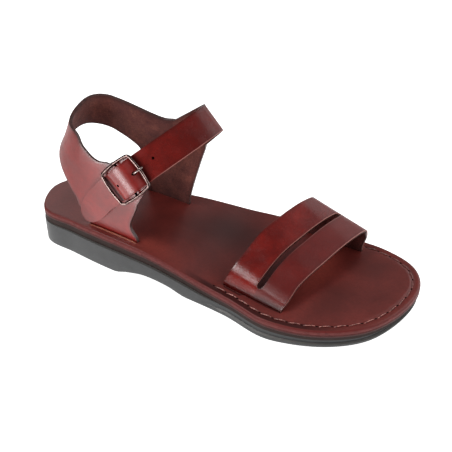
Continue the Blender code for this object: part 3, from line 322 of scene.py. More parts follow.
# Tones of the footbed: darker and lighter top, painted light on paler places, darker places, specks, border,
# rim, side, darker lower part of the side
SEAT_TONES = ((0.108, 0.015, 0.012), (0.210, 0.032, 0.025))
SEAT_PAINTED_LIGHT, SEAT_DARKER = (0.36, 0.060, 0.042), (0.040, 0.0075, 0.0065)
SEAT_SPECK, SEAT_BORDER = (0.05, 0.008, 0.007), (0.030, 0.0045, 0.004)
SEAT_RIM = (0.13, 0.013, 0.011)
SIDE_TONES = ((0.080, 0.012, 0.011), (0.150, 0.028, 0.025))
SIDE_LOWER_DARK = (0.040, 0.014, 0.013)
# Tones of the rubber: midsole, sole, and painted light where it faces up
BAND_TONE = (0.032, 0.021, 0.019)
RUBBER_TONES = ((0.019, 0.0195, 0.020), (0.040, 0.041, 0.042))
RUBBER_TOP_LIGHT = (0.13, 0.125, 0.12)
# Shade of the frame on the strap, from the buckle's middle in half frame widths: it sets in and ends
SHADE_INSIDE, SHADE_OUTSIDE, SHADE_BEHIND = (0.66, 0.97), (1.06, 1.5), (1.0, 1.06)

# Camera and light
CAMERA_AZIMUTH, CAMERA_ELEVATION = 24.351, 38.002
CAMERA_DISTANCE = 0.650
CAMERA_LENS, CAMERA_SENSOR = 70.33, 36.0       # mm
CAMERA_TARGET = (0.131688, 0.025956, 0.015)
LIGHT_AIM = (0.0, 0.0, 0.04)
FLOOR_GLOW = 1.0
FLOOR_HALF = 3.0               # metres
WORLD_LIGHT = 0.13
# name, azimuth and elevation (degrees, 0 is in front and 90 to the right), distance, width, height, W
LIGHTS = (
    ("low_front", -17.0, 7.0, 0.85, 0.20, 0.20, 2.3),
    ("key_left", -55.0, 55.0, 1.15, 0.46, 0.30, 4.6),
    ("right", 104.0, 36.0, 1.20, 1.30, 0.66, 6.0),
    ("back", 165.0, 40.0, 1.50, 0.62, 0.70, 1.7),
    ("sweep", 145.0, 13.0, 1.60, 2.20, 0.60, 6.5),
    ("high", 165.0, 66.0, 1.50, 0.60, 0.36, 0.3),
    ("back_left", -131.0, 34.0, 1.30, 0.44, 0.56, 1.2),
)


def hermite(t, step, a, b, lean_a, lean_b):
    """Cubic from a to b at the share t of the step, with those leans at its ends."""
    return ((1 + 2 * t) * (1 - t) ** 2 * a + t * (1 - t) ** 2 * step * lean_a
            + t * t * (3 - 2 * t) * b + t * t * (t - 1) * step * lean_b)


def closed_curve(points, fine):
    """Closed centripetal Catmull-Rom curve through 2-D points."""
    points = np.array(points, float)
    before, after = np.roll(points, 1, axis=0), np.roll(points, -1, axis=0)
    step = np.sqrt(np.linalg.norm(after - points, axis=1))[:, None]
    slope = (after - points) / step
    lean = np.roll(slope, 1, axis=0) + slope - (after - before) / (np.roll(step, 1, axis=0) + step)
    return np.array([hermite(k / fine, step[i], points[i], after[i], lean[i], lean[(i + 1) % len(points)])
                     for i in range(len(points)) for k in range(fine)])


def smooth_rows(rows, fine):
    """Catmull-Rom rows between the given rows of numbers; the given rows stay as they are."""
    rows = [np.array(r, float) for r in rows]
    out = []
    for i in range(len(rows) - 1):
        a, b, c, d = (rows[min(max(i + k, 0), len(rows) - 1)] for k in (-1, 0, 1, 2))
        out += [hermite(k / fine, 1.0, b, c, (c - a) / 2, (d - b) / 2) for k in range(fine)]
    return out + [rows[-1]]


def flowing(rows, fine):
    """Rows of points with smooth rows between them; knots are spaced by the rows' mean distance."""
    rows = np.array(rows, float)
    gap = np.linalg.norm(np.diff(rows, axis=0), axis=2).mean(axis=1)
    slope = np.diff(rows, axis=0) / gap[:, None, None]
    lean = np.empty_like(rows)
    lean[0], lean[-1] = slope[0], slope[-1]
    for i in range(1, len(rows) - 1):
        lean[i] = (slope[i - 1] * gap[i] + slope[i] * gap[i - 1]) / (gap[i - 1] + gap[i])
    out = [hermite(k / fine, gap[i], rows[i], rows[i + 1], lean[i], lean[i + 1])
           for i in range(len(rows) - 1) for k in range(fine)]
    return out + [rows[-1]]


class Profile:
    """Monotone cubic through the columns of a table; flat beyond its ends."""

    def __init__(self, table):
        data = np.array(table, float)
        self.x, self.y = data[:, 0], data[:, 1:]
        slope = np.diff(self.y, axis=0) / np.diff(self.x)[:, None]
        self.lean = np.zeros_like(self.y)
        for i in range(1, len(self.x) - 1):
            before, after = slope[i - 1], slope[i]
            same = before * after > 0
            blend = 2 * before * after / np.where(same, before + after, 1.0)
            self.lean[i] = np.where(same, blend, 0.0)
        self.lean[0], self.lean[-1] = slope[0], slope[-1]

    def at(self, x):
        x = min(max(x, self.x[0]), self.x[-1])
        i = min(int(np.searchsorted(self.x, x, side="right")) - 1, len(self.x) - 2)
        step = self.x[i + 1] - self.x[i]
        t = (x - self.x[i]) / step
        return hermite(t, step, self.y[i], self.y[i + 1], self.lean[i], self.lean[i + 1])


SEAT_CURVE = Profile(SEAT_FALL)
UNDERSIDE_CURVE = Profile(UNDERSIDE)
PROUD_CURVE = Profile(PROUD)
FORM_CURVE = Profile(BACK_FORM)


def unit(v):
    return v / np.linalg.norm(v)


def lerp(a, b, t):
    return a + (b - a) * t


def ramp(value, start, end):
    t = min(max((value - start) / (end - start), 0.0), 1.0)
    return t * t * (3 - 2 * t)


# Heights and edges of the sole's layers at a share u of LENGTH

def seat_top(u):
    return lerp(HEEL_SEAT, BALL_SEAT, SEAT_CURVE.at(u)[0])


def seat_base(u):
    return seat_top(u) - FOOTBED


def band_top(u):
    return seat_base(u) - FIT_GAP


def band_base(u):
    return band_top(u) - lerp(BAND_HEEL, BAND_BALL, SEAT_CURVE.at(u)[0])


def rubber_top(u):
    return band_base(u) - FIT_GAP


def floor_side(u):
    arch, toe = UNDERSIDE_CURVE.at(u)
    return ARCH_LIFT * arch + TOE_SPRING * toe


def rubber_edge(u):
    return -RUBBER_PROUD * PROUD_CURVE.at(u)[0]


def recess(u):
    return rubber_edge(u) + SIDE_RECESS * ramp(u, RECESS_START, RECESS_FULL)


def outline_pairs():
    """Points of the outer and the inner edge at each station, and the shift that centres the sole."""
    curve = closed_curve([(u * LENGTH, v * BALL_WIDTH) for _, u, v in OUTLINE], OUTLINE_FINE)
    low, high = int(curve[:, 0].argmin()), int(curve[:, 0].argmax())
    start, end = curve[low, 0], curve[high, 0]
    outer = curve[low:high + 1] if low < high else np.vstack([curve[low:], curve[:high + 1]])
    inner = np.vstack([curve[high:], curve[:low + 1]]) if low < high else curve[high:low + 1]
    edges = []
    for edge in (outer, inner[::-1]):
        points = []
        for k in range(STATIONS + 1):
            x = lerp(start, end, (1 - math.cos(math.pi * k / STATIONS)) / 2)
            points.append(((x - start) * LENGTH / (end - start), np.interp(x, edge[:, 0], edge[:, 1])))
        edges.append(np.array(points))
    return *edges, -(curve[:, 1].min() + curve[:, 1].max()) / 2


OUTER_EDGE, INNER_EDGE, SIDE_SHIFT = outline_pairs()


def to_part(x, y, z):
    """From heel-based sole coordinates to the part's frame."""
    return np.array([x - LENGTH / 2, y + SIDE_SHIFT, z])


def ring_plan():
    """Closed outline ring in heel-based coordinates and its outward normals."""
    ring = np.vstack([OUTER_EDGE, INNER_EDGE[1:-1][::-1]])
    along = np.roll(ring, -1, axis=0) - np.roll(ring, 1, axis=0)
    normal = np.stack([along[:, 1], -along[:, 0]], axis=1)
    return ring, normal / np.linalg.norm(normal, axis=1)[:, None]


RING, RING_NORMAL = ring_plan()


def form_point(run, rise):
    """Outer face of the back upper; run and rise are shares of LENGTH and BACK_HEIGHT."""
    back, out_heel, out_side, in_heel, in_side = FORM_CURVE.at(rise)
    heel, side, full = (in_heel, in_side, FORK_X) if run > 0 else (out_heel, out_side, BUCKLE_X)
    length = abs(run)
    if length <= TURN_RUN:
        angle = length / TURN_RUN * math.pi / 2
        x = TURN_X - (TURN_X - back) * math.cos(angle)
        half = heel * math.sin(angle)
    else:
        x = TURN_X + length - TURN_RUN
        t = (x - TURN_X) / (full - TURN_X)
        half = lerp(heel, side, t if t > 1 else 0.5 * (t + t * t * (3 - 2 * t)))
    return to_part(x * LENGTH, (half if run > 0 else -half) * BALL_WIDTH, HEEL_SEAT + rise * BACK_HEIGHT)


def form_frame(run, rise):
    """Point of the form, its outward normal and its unit directions for growing run and rise."""
    step_rise = STEP * LENGTH / BACK_HEIGHT
    along = form_point(run + STEP, rise) - form_point(run - STEP, rise)
    upward = form_point(run, rise + step_rise) - form_point(run, rise - step_rise)
    return form_point(run, rise), unit(np.cross(upward, along)), unit(along), unit(upward)


def lifted(run, rise, lift):
    point, normal, _, _ = form_frame(run, rise)
    return point + normal * lift


def section_points(low_run, low_rise, high_run, high_rise, count, lift=None):
    """Points across one section of the back upper, on the form or lifted off it."""
    points = []
    for k in range(count):
        place = lerp(low_run, high_run, k / (count - 1)), lerp(low_rise, high_rise, k / (count - 1))
        points.append(lifted(*place, lift) if lift else form_point(*place))
    return points


def buckle_axes():
    """Middle of the buckle on the leather, then its strap-wise, across and outward directions."""
    point, normal, along, upward = form_frame(BUCKLE_RUN, BUCKLE_RISE)
    strapwise = unit(upward - along)
    strapwise = unit(strapwise - normal * strapwise.dot(normal))
    return point, strapwise, unit(np.cross(strapwise, normal)), normal


BUCKLE_FOOT, STRAPWISE, CROSSWISE, OUTWARD = buckle_axes()


def in_buckle(strap, across, lift):
    return BUCKLE_FOOT + STRAPWISE * strap + CROSSWISE * across + OUTWARD * lift


def blend_row(rear, front, count):
    return [rear + (front - rear) * k / (count - 1) for k in range(count)]


def seat_share(point):
    return (point[0] + LENGTH / 2) / LENGTH


def sunk(point):
    """The same point taken down to just above the midsole."""
    return np.array([point[0], point[1], seat_base(seat_share(point)) + FIT_GAP])


def on_seat(point):
    return np.array([point[0], point[1], seat_top(seat_share(point))])


def back_rows():
    """Rows of the back upper, and at which row each section of the table lies."""
    rows = [section_points(*row, ACROSS) for row in smooth_rows([r[1:] for r in BACK_SECTIONS], BACK_FINE)]
    rows[0], rows[-1] = ([on_seat(p) for p in row] for row in (rows[0], rows[-1]))
    rows = [[sunk(p) for p in rows[0]], *rows, [sunk(p) for p in rows[-1]]]
    return rows, {row[0]: 1 + BACK_FINE * i for i, row in enumerate(BACK_SECTIONS)}


def through_point(run, lift, across):
    """Outer face of the strap in the buckle: flat over the bar and in front, on the quarter behind."""
    strap, rise = run * FRAME_HALF, lift * FRAME_HEIGHT
    flat_on = in_buckle(strap, across, rise)
    upward = form_frame(BUCKLE_RUN, BUCKLE_RISE)[3]
    diagonal = math.sqrt(2)
    held = lifted(BUCKLE_RUN - (strap + across) / diagonal / LENGTH,
                  BUCKLE_RISE + (strap - across) / diagonal * upward[2] / BACK_HEIGHT, rise)
    return lerp(flat_on, held, ramp(-run, 0.0, HELD_FROM))


def fold_arc(base, crest, land):
    """Round fold from the line base-crest to the line crest-land, its outermost point at the crest."""
    radius = UPPER_LEATHER + FOLD_INSIDE
    rise, fall = unit(crest - base), unit(land - crest)
    half = math.acos(rise.dot(fall)) / 2
    corner = crest + unit(rise - fall) * radius * (1 / math.cos(half) - 1)
    rise, fall = unit(corner - base), unit(land - corner)
    half = math.acos(rise.dot(fall)) / 2
    inward, level = unit(fall - rise), unit(rise + fall)
    middle = corner + inward * radius / math.cos(half)
    angles = [half * (2 * k / FOLD_ROWS - 1) for k in range(FOLD_ROWS + 1)]
    return [middle + radius * (level * math.sin(a) - inward * math.cos(a)) for a in angles]


def strap_rows(root):
    """Instep strap from its root row to the tail's tip, outer face, rear edge first."""
    count, half = len(root), STRAP_WIDTH / 2
    crests = [to_part(c[0] * LENGTH, c[1] * BALL_WIDTH, HEEL_SEAT + c[2] * BACK_HEIGHT)
              for c in (CREST_REAR, CREST_FRONT)]
    land = [through_point(*THROUGH[0], side) for side in (-half, half)]
    base = (root[0], root[-1])
    folds = [fold_arc(*ends) for ends in zip(base, crests, land)]
    edges = [[lerp(a, fold[0], t) for a, fold in zip(base, folds)] for t in RISE_STEPS]
    edges += zip(*folds)
    start = [fold[-1] for fold in folds]
    bow = unit(np.cross(start[1] - start[0], land[0] - start[0]))
    if bow[2] < 0:
        bow = -bow
    for k in range(1, FLIGHT_ROWS):
        t = k / FLIGHT_ROWS
        lift = bow * FLIGHT_ARCH * math.sin(math.pi * t)
        edges.append([lerp(a, b, t) + lift for a, b in zip(start, land)])
    rows = [blend_row(rear, front, count) for rear, front in edges]
    for run, lift in THROUGH:
        rows.append([through_point(run, lift, half * (2 * k / (count - 1) - 1)) for k in range(count)])
    return rows + [section_points(*row[1:], count, UPPER_LEATHER + FIT_GAP) for row in TAIL]


def band_point(u, v, rise):
    """Point of the toe band; near the footbed its height counts from the footbed under it."""
    ground = lerp(seat_top(u), BALL_SEAT, min(max(rise, 0.0), 1.0))
    return to_part(u * LENGTH, v * BALL_WIDTH, ground + rise * TOE_BAND_HEIGHT)


def slot_half(section):
    """Half width of the long slot at a section, share of the band's width."""
    if not SLOT_START < section < SLOT_END:
        return 0.0
    width = lerp(SLOT_WIDE, SLOT_NARROW, (section - SLOT_START) / (SLOT_END - SLOT_START))
    near = min(section - SLOT_START, SLOT_END - section, SLOT_ROUND)
    return width * math.sqrt(1 - (1 - near / SLOT_ROUND) ** 2)


# Shaders

def times(color, share):
    return tuple(c * share for c in color)


def adjusted(thing, **settings):
    """Sets attributes of a node, modifier, light or camera and returns it."""
    for key, value in settings.items():
        setattr(thing, key, value)
    return thing


class Shader:
    """Adds nodes to one material and links them."""

    def __init__(self, name):
        self.material = bpy.data.materials.new(name)
        self.material.use_nodes = True
        self.tree = self.material.node_tree
        self.main = self.tree.nodes["Principled BSDF"]
        self.place = self.add("TexCoord").outputs["Object"]

    def put(self, socket, value):
        """Links another node's output to a socket, or sets the socket to a number or colour."""
        if isinstance(value, bpy.types.NodeSocket):
            self.tree.links.new(value, socket)
        else:
            socket.default_value = (*value, 1.0) if socket.type == "RGBA" else value

    def add(self, kind, sockets=None, **settings):
        node = adjusted(self.tree.nodes.new("ShaderNode" + kind), **settings)
        for key, value in (sockets or {}).items():
            self.put(node.inputs[key], value)
        return node

    def value(self, **sockets):
        for key, value in sockets.items():
            self.put(self.main.inputs[key.replace("_", " ")], value)

    def noise(self, scale, detail=4.0, rough=0.55, distort=0.0):
        return self.add("TexNoise", {"Scale": scale, "Detail": detail, "Roughness": rough,
                                     "Distortion": distort, "Vector": self.place}).outputs["Fac"]

    def ramp(self, source, *stops):
        node = self.add("ValToRGB", {"Fac": source})
        for step, (position, color) in zip(node.color_ramp.elements, stops):
            step.position, step.color = position, (*color, 1.0)
        return node.outputs["Color"]

    def span(self, source, low, high, to_low=0.0, to_high=1.0):
        return self.add("MapRange", {"Value": source, "From Min": low, "From Max": high,
                                     "To Min": to_low, "To Max": to_high}).outputs["Result"]

    def math(self, kind, a, b):
        return self.add("Math", {0: a, 1: b}, operation=kind).outputs["Value"]

    def product(self, a, b):
        return self.math("MULTIPLY", a, b)

    def mix(self, share, a, b, kind="MIX"):
        """Colour from a to b; sockets 0, 6 and 7 take the share and the two colours."""
        return self.add("Mix", {0: share, 6: a, 7: b}, data_type="RGBA", blend_type=kind).outputs[2]

    def attribute(self, name):
        return self.add("Attribute", attribute_name=name).outputs["Fac"]

    def axis(self, name, source=None):
        """One coordinate of the place on the piece, or of another vector."""
        return self.add("SeparateXYZ", {"Vector": source or self.place}).outputs[name]

    def normal(self, name):
        return self.axis(name, self.add("NewGeometry").outputs["Normal"])

    def strap_share(self):
        """1 on the instep strap between crest and buckle, 0 on the rest of the back upper."""
        forward = self.span(self.axis("X"), *STRAP_FROM_X)
        return self.product(forward, self.span(self.axis("Z"), *STRAP_FROM_Z))

    def bump(self, *heights):
        """Bumps on top of each other; each is (source, strength, distance)."""
        below = {}
        for source, strength, distance in heights:
            node = self.add("Bump", {"Strength": strength, "Distance": distance, "Height": source, **below})
            below = {"Normal": node.outputs["Normal"]}
        self.value(**below)


def glossy_leather(name, dark, light, gloss, painted_light=None):
    """Waxed leather; off the instep strap its tone is multiplied paler as painted light, and it is duller
    and hazier.
    """
    s = Shader(name)
    tone = s.ramp(s.noise(38.0, 5.0, 0.6, 0.4), (0.36, dark), (0.68, light))
    tone = s.mix(s.span(s.noise(420.0, 3.0, 0.6), 0.35, 0.7, 0.0, 0.22), tone, times(dark, 0.55))
    rough = s.span(s.noise(160.0), 0.3, 0.7, gloss - 0.05, gloss + 0.07)
    near_edge = s.span(s.attribute("edge"), 0.5, 2.6, 0.45, 0.0)
    # painted highlight: a lit line on the cut edges that face the toe
    lit = s.span(s.normal("X"), *LIT_EDGE)
    s.value(Specular_IOR_Level=0.45, Coat_Weight=0.12, Coat_Roughness=0.16)
    if painted_light:
        lit = s.product(lit, s.attribute("below"))
        strap, shade = s.strap_share(), s.attribute("shade")
        heel = s.span(s.axis("X"), *HEEL_TO_SIDE)
        # painted light: the same leather drawn paler off the instep strap, a lit copy for the quarters, tail
        # and strap in the buckle
        painted_light = s.mix(heel, tuple(1 + (c - 1) * HEEL_SHARE for c in painted_light), painted_light)
        tone = s.mix(strap, s.mix(1.0, tone, painted_light, "MULTIPLY"), tone)
        tail = s.product(s.attribute("strap"), s.span(strap, 0.0, 1.0, 1.0, 0.0))
        line = s.mix(tail, times(dark, 0.9), tone)
        line = s.mix(strap, line, s.mix(lit, times(dark, 0.7), EDGE_HIGHLIGHT))
        near_edge = s.product(near_edge, s.span(tail, 0.0, 1.0, 1.0, 0.1))
        tone = s.mix(s.span(shade, 0.0, 1.0, 0.0, 0.85), tone, UNDER_FRAME)
        dull = s.span(s.math("MAXIMUM", strap, heel), 0.0, 1.0, 2 * DULLER, 0.0)
        rough = s.math("ADD", s.math("ADD", rough, dull), s.span(strap, 0.0, 1.0, DULLER, 0.0))
        haze = s.span(heel, 0.0, 1.0, HAZIER * HEEL_SHARE, HAZIER)
        haze = s.product(haze, s.span(strap, 0.0, 1.0, 1.0, STRAP_HAZE / HAZIER))
        s.value(Specular_IOR_Level=s.product(haze, s.span(shade, 0.0, 1.0, 1.0, 0.15)),
                Coat_Weight=s.span(shade, 0.0, 1.0, 0.12, 0.0))
    else:
        front = s.attribute("front")
        line = s.mix(lit, times(dark, 0.7), EDGE_HIGHLIGHT)
        rough = s.math("ADD", rough, s.span(front, 0.0, 1.0, 0.0, FRONT_DULLER))
        tone = s.mix(s.span(front, 0.0, 1.0, 0.0, FRONT_DARKER), tone, times(dark, 0.8))
        tone = s.mix(s.span(s.axis("Z"), *BAND_FOOT, 0.8, 0.0), tone, times(dark, 0.2))
    tone = s.mix(near_edge, tone, times(dark, 0.5))
    s.value(Base_Color=s.mix(s.span(s.attribute("edge"), 0.1, 0.6, 0.85, 0.0), tone, line), Roughness=rough)
    pores = s.add("TexVoronoi", {"Scale": 800.0, "Vector": s.place}).outputs["Distance"]
    s.bump((s.noise(1400.0, 3.0, 0.65), 0.26, 0.0002), (pores, 0.16, 0.0002),
           (s.noise(90.0, 3.0), 0.10, 0.0006))
    return s.material


def flesh_leather(name, dark, light):
    """Napped inner side, darker beside the cut edges."""
    s = Shader(name)
    tone = s.ramp(s.noise(55.0, 7.0, 0.72, 0.3), (0.34, dark), (0.66, light))
    tone = s.mix(s.span(s.noise(900.0, 4.0, 0.7), 0.38, 0.70, 0.0, 0.65), tone, times(dark, 0.45))
    tone = s.mix(s.span(s.attribute("edge"), 0.0, 3.5, 0.75, 0.0), tone, times(dark, 0.45))
    s.value(Base_Color=tone, Roughness=0.9, Specular_IOR_Level=0.25, Sheen_Weight=0.10, Sheen_Roughness=0.6)
    s.bump((s.noise(1100.0, 6.0, 0.75), 0.55, 0.0004), (s.noise(240.0), 0.25, 0.0006))
    return s.material


def cut_leather(name, dark, light, edge_highlight=None, strap_only=False):
    """Cut edge; a painted highlight lights its outer part where it faces the toe."""
    s = Shader(name)
    tone = s.ramp(s.noise(500.0, 4.0, 0.6), (0.3, dark), (0.7, light))
    if edge_highlight:
        # painted highlight on the edge's outer part where it faces the toe
        outer = s.span(s.attribute("depth"), 0.0, 0.45, 1.0, 0.0)
        share = s.product(outer, s.span(s.normal("X"), *LIT_EDGE))
        if strap_only:
            strap = s.strap_share()
            share = s.product(share, s.product(strap, s.attribute("below")))
            tail = s.product(s.attribute("strap"), s.span(strap, 0.0, 1.0, 0.9, 0.0))
            tone = s.mix(tail, tone, TAIL_EDGE)
        tone = s.mix(share, tone, edge_highlight)
    s.value(Base_Color=tone, Roughness=0.42, Specular_IOR_Level=0.5)
    s.bump((s.noise(1300.0, 4.0, 0.7), 0.35, 0.0003))
    return s.material


def footbed_leather():
    """Worn top with painted light on paler places, darker places and a darker border; redder rim and browner
    side.
    """
    s = Shader("footbed_leather_look")
    patch_tone, near, up = s.attribute("patch_tone"), s.attribute("inset"), s.normal("Z")
    top = s.ramp(s.noise(22.0, 5.0, 0.6, 0.5), *zip((0.32, 0.72), SEAT_TONES))
    # painted light on the paler patches; the darker patches are darker places
    top = s.mix(s.span(patch_tone, 0.0, 1.0), top, SEAT_PAINTED_LIGHT)
    top = s.mix(s.span(patch_tone, 0.0, -1.0), top, SEAT_DARKER)
    top = s.mix(s.span(s.noise(600.0, 3.0, 0.6), 0.4, 0.75, 0.0, 0.3), top, SEAT_SPECK)
    border = s.product(s.span(near, 4.2, 6.6, BORDER_DARK, 0.0), s.span(near, 0.9, 1.5))
    for name, ends in BORDER_REACH:
        border = s.product(border, s.span(s.axis(name), *ends))
    top = s.mix(border, top, SEAT_BORDER)
    top = s.mix(s.span(up, 0.80, 0.97), SEAT_RIM, top)
    side = s.ramp(s.noise(260.0, 4.0, 0.65), *zip((0.3, 0.7), SIDE_TONES))
    # darker towards the bottom of the side, up to the pressed line
    side = s.mix(s.span(s.attribute("ring"), 0.6, 3.4), SIDE_LOWER_DARK, side)
    rough = s.math("ADD", s.span(up, 0.5, 0.97, 0.62, 0.36), s.product(border, 0.15))
    shine = s.math("SUBTRACT", s.span(up, 0.4, 0.99, 0.16, 0.42), s.product(border, 0.25))
    s.value(Specular_IOR_Level=0.4, Coat_Weight=0.06, Coat_Roughness=0.3)
    s.value(Base_Color=s.mix(s.span(up, 0.30, 0.62), side, top), Roughness=rough, Specular_IOR_Level=shine)
    s.bump((s.noise(1300.0, 3.0, 0.6), 0.10, 0.0002), (s.noise(60.0), 0.14, 0.0008),
           (s.noise(350.0), 0.07, 0.0004))
    return s.material


def midsole_rubber():
    s = Shader("band_look")
    pale = s.span(s.noise(180.0), 0.35, 0.7, 0.0, 0.35)
    s.value(Base_Color=s.mix(pale, BAND_TONE, times(BAND_TONE, 1.7)), Roughness=0.75,
            Specular_IOR_Level=0.12)
    s.bump((s.noise(2200.0, 3.0, 0.7), 0.15, 0.0002), (s.noise(120.0, 3.0), 0.1, 0.0004))
    return s.material


def sole_rubber():
    """Satin rubber, paler where it faces up as painted light, with fine ribs across the underside."""
    s = Shader("rubber_look")
    tone = s.mix(s.span(s.noise(150.0), 0.35, 0.7, 0.0, 0.4), *RUBBER_TONES)
    # painted light: paler where the rubber faces up
    s.value(Base_Color=s.mix(s.span(s.normal("Z"), 0.3, 0.8), tone, RUBBER_TOP_LIGHT),
            Roughness=0.42, Specular_IOR_Level=0.5)
    ribs = s.add("TexWave", {"Scale": 70.0, "Distortion": 0.0, "Vector": s.place},
                 wave_type="BANDS", bands_direction="X", wave_profile="TRI").outputs["Fac"]
    s.bump((s.noise(2000.0, 3.0, 0.7), 0.10, 0.0002),
           (s.product(ribs, s.span(s.normal("Z"), -0.5, -0.9)), 0.8, 0.0010))
    return s.material


def dark_metal(name, low, high):
    s = Shader(name)
    s.value(Base_Color=s.ramp(s.noise(300.0), (0.35, low), (0.65, high)), Metallic=1.0, Roughness=0.16)
    s.bump((s.noise(700.0, 3.0), 0.06, 0.0002))
    return s.material


def thread():
    """Waxed thread, darker on the inner side of the foot as painted shade."""
    s = Shader("stitch_thread_look")
    tone = s.mix(s.span(s.noise(900.0, 2.0), 0.42, 0.56), THREAD_COLOR, times(THREAD_COLOR, 0.28))
    # painted shade: darker towards the inner side
    s.value(Base_Color=s.mix(s.span(s.axis("Y"), -0.030, 0.020, 0.0, 0.8), tone, THREAD_INNER_SHADE),
            Roughness=0.38, Specular_IOR_Level=0.6)
    s.bump((s.noise(4000.0, 2.0), 0.3, 0.0002))
    return s.material


# Near black: painted shade inside the punched holes and on the discs at the needle holes
def painted_hole_shade():
    s = Shader("hole_shade_look")
    s.value(Base_Color=(0.012, 0.004, 0.003), Roughness=0.9, Specular_IOR_Level=0.1)
    return s.material


# the upper's tone is multiplied paler off the instep strap: painted light
LEATHER_OUT = glossy_leather("upper_leather_look", (0.088, 0.0045, 0.0030), (0.155, 0.0075, 0.0048), 0.25,
                             (2.0, 1.5, 1.5))
LEATHER_TOE = glossy_leather("toe_band_leather_look", (0.135, 0.0060, 0.0042), (0.260, 0.0130, 0.0080),
                             0.25)
FLESH = flesh_leather("flesh_side_look", (0.095, 0.020, 0.018), (0.240, 0.066, 0.046))
FLESH_TOE = flesh_leather("toe_band_flesh_look", (0.11, 0.018, 0.014), (0.17, 0.032, 0.024))
CUT_UPPER = cut_leather("upper_edge_look", (0.030, 0.011, 0.010), (0.085, 0.029, 0.024), EDGE_HIGHLIGHT, True)
CUT_TOE = cut_leather("toe_band_edge_look", (0.045, 0.013, 0.010), (0.11, 0.036, 0.028), EDGE_HIGHLIGHT)
RAW_SLOT = cut_leather("slot_wall_look", (0.20, 0.040, 0.018), (0.30, 0.070, 0.032))
HOLE_SHADE = painted_hole_shade()


# Meshes

def new_object(name, data):
    item = bpy.data.objects.new(name, data)
    bpy.context.scene.collection.objects.link(item)
    return item


def shade_smooth(data, sharp):
    for face in data.polygons:
        face.use_smooth = True
    data.set_sharp_from_angle(angle=math.radians(sharp))


def weld(mesh):
    bmesh.ops.remove_doubles(mesh, verts=mesh.verts, dist=WELD)


def outward(mesh):
    bmesh.ops.recalc_face_normals(mesh, faces=mesh.faces)
    return mesh


def finish_mesh(name, mesh, *materials):
    weld(mesh)
    data = bpy.data.meshes.new(name)
    mesh.to_mesh(data)
    mesh.free()
    for material in materials:
        data.materials.append(material)
    shade_smooth(data, SHARP_DRAWN)
    return new_object(name, data)


def freeze(item, cutters=()):
    """Keeps the result of the modifiers and removes the cutters."""
    shown = bpy.context.evaluated_depsgraph_get()
    shown.update()
    data = bpy.data.meshes.new_from_object(item.evaluated_get(shown))
    old = item.data
    item.modifiers.clear()
    item.data = data
    data.name = old.name
    bpy.data.meshes.remove(old)
    for cutter in cutters:
        bpy.data.objects.remove(cutter, do_unlink=True)
    shade_smooth(data, SHARP_CUT)


def cut(item, cutters):
    for cutter in cutters:
        adjusted(item.modifiers.new("cut", "BOOLEAN"), operation="DIFFERENCE", solver="EXACT",
                 material_mode="TRANSFER", object=cutter)
    freeze(item, cutters)


def strip(mesh, a, b, closed=False):
    """Quads between two rows of vertices."""
    for k in range(len(a) if closed else len(a) - 1):
        j = (k + 1) % len(a)
        mesh.faces.new((a[k], a[j], b[j], b[k]))


def add_grid(mesh, rows, first=None):
    """Quads between rows of points; before them there can be a row of vertices that exist already."""
    grid = [first] if first else []
    for row in rows:
        grid.append([mesh.verts.new(p) for p in row])
    for a, b in zip(grid, grid[1:]):
        strip(mesh, a, b)
    return grid


def prism(mesh, rings):
    """Solid between two rings of points; each ring is a line and a second one back beside it."""
    rings = [[mesh.verts.new(p) for p in ring] for ring in rings]
    strip(mesh, *rings, closed=True)
    for ring in rings:
        half = len(ring) // 2
        strip(mesh, ring[:half], ring[half:][::-1])


def oval(count, a, b):
    """Points round an oval with the half axes a and b."""
    turns = [2 * math.pi * k / count for k in range(count)]
    return [a * math.cos(turn) + b * math.sin(turn) for turn in turns]


def tube(mesh, points, radii, sides, across=None, closed=False):
    """Adds a round tube through points to a mesh."""
    points = [np.array(p, float) for p in points]
    rings, last = [], len(points) - 1
    for i, p in enumerate(points):
        ends = (i - 1, i + 1 if i < last else 0) if closed else (max(i - 1, 0), min(i + 1, last))
        along = unit(points[ends[1]] - points[ends[0]])
        side = unit(np.cross(along, (0.0, 0.0, 1.0))) if across is None else across
        side = unit(side - along * side.dot(along))
        rings.append([mesh.verts.new(p + radii[i] * q) for q in oval(sides, side, np.cross(along, side))])
    for a, b in zip(rings, rings[1:]):
        strip(mesh, a, b, closed=True)
    if closed:
        strip(mesh, rings[-1], rings[0], closed=True)
    else:
        mesh.faces.new(rings[0])
        mesh.faces.new(rings[-1])


def tree_of(points):
    tree = KDTree(len(points))
    for i, point in enumerate(points):
        tree.insert(point, i)
    tree.balance()
    return tree


def near_line(point, a, b):
    """Distance from a point to the segment a-b."""
    along = b - a
    t = min(max((point - a).dot(along) / along.dot(along), 0.0), 1.0)
    return np.linalg.norm(point - a - along * t)


def fading(distance, reach):
    return math.exp(-(distance / reach) ** 2)


def patch(point, x, y, long, wide):
    """1 in the middle of a soft patch of the footbed, fading outward; x, y and half sizes in mm."""
    return fading(point.x / MM - x, long) * fading(point.y / MM - y, wide)


def left_of(v):
    return np.array([-v[1], v[0]])


def stands_for(item, node=None):
    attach(item, "root")
    if node:
        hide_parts(node)


# Sole

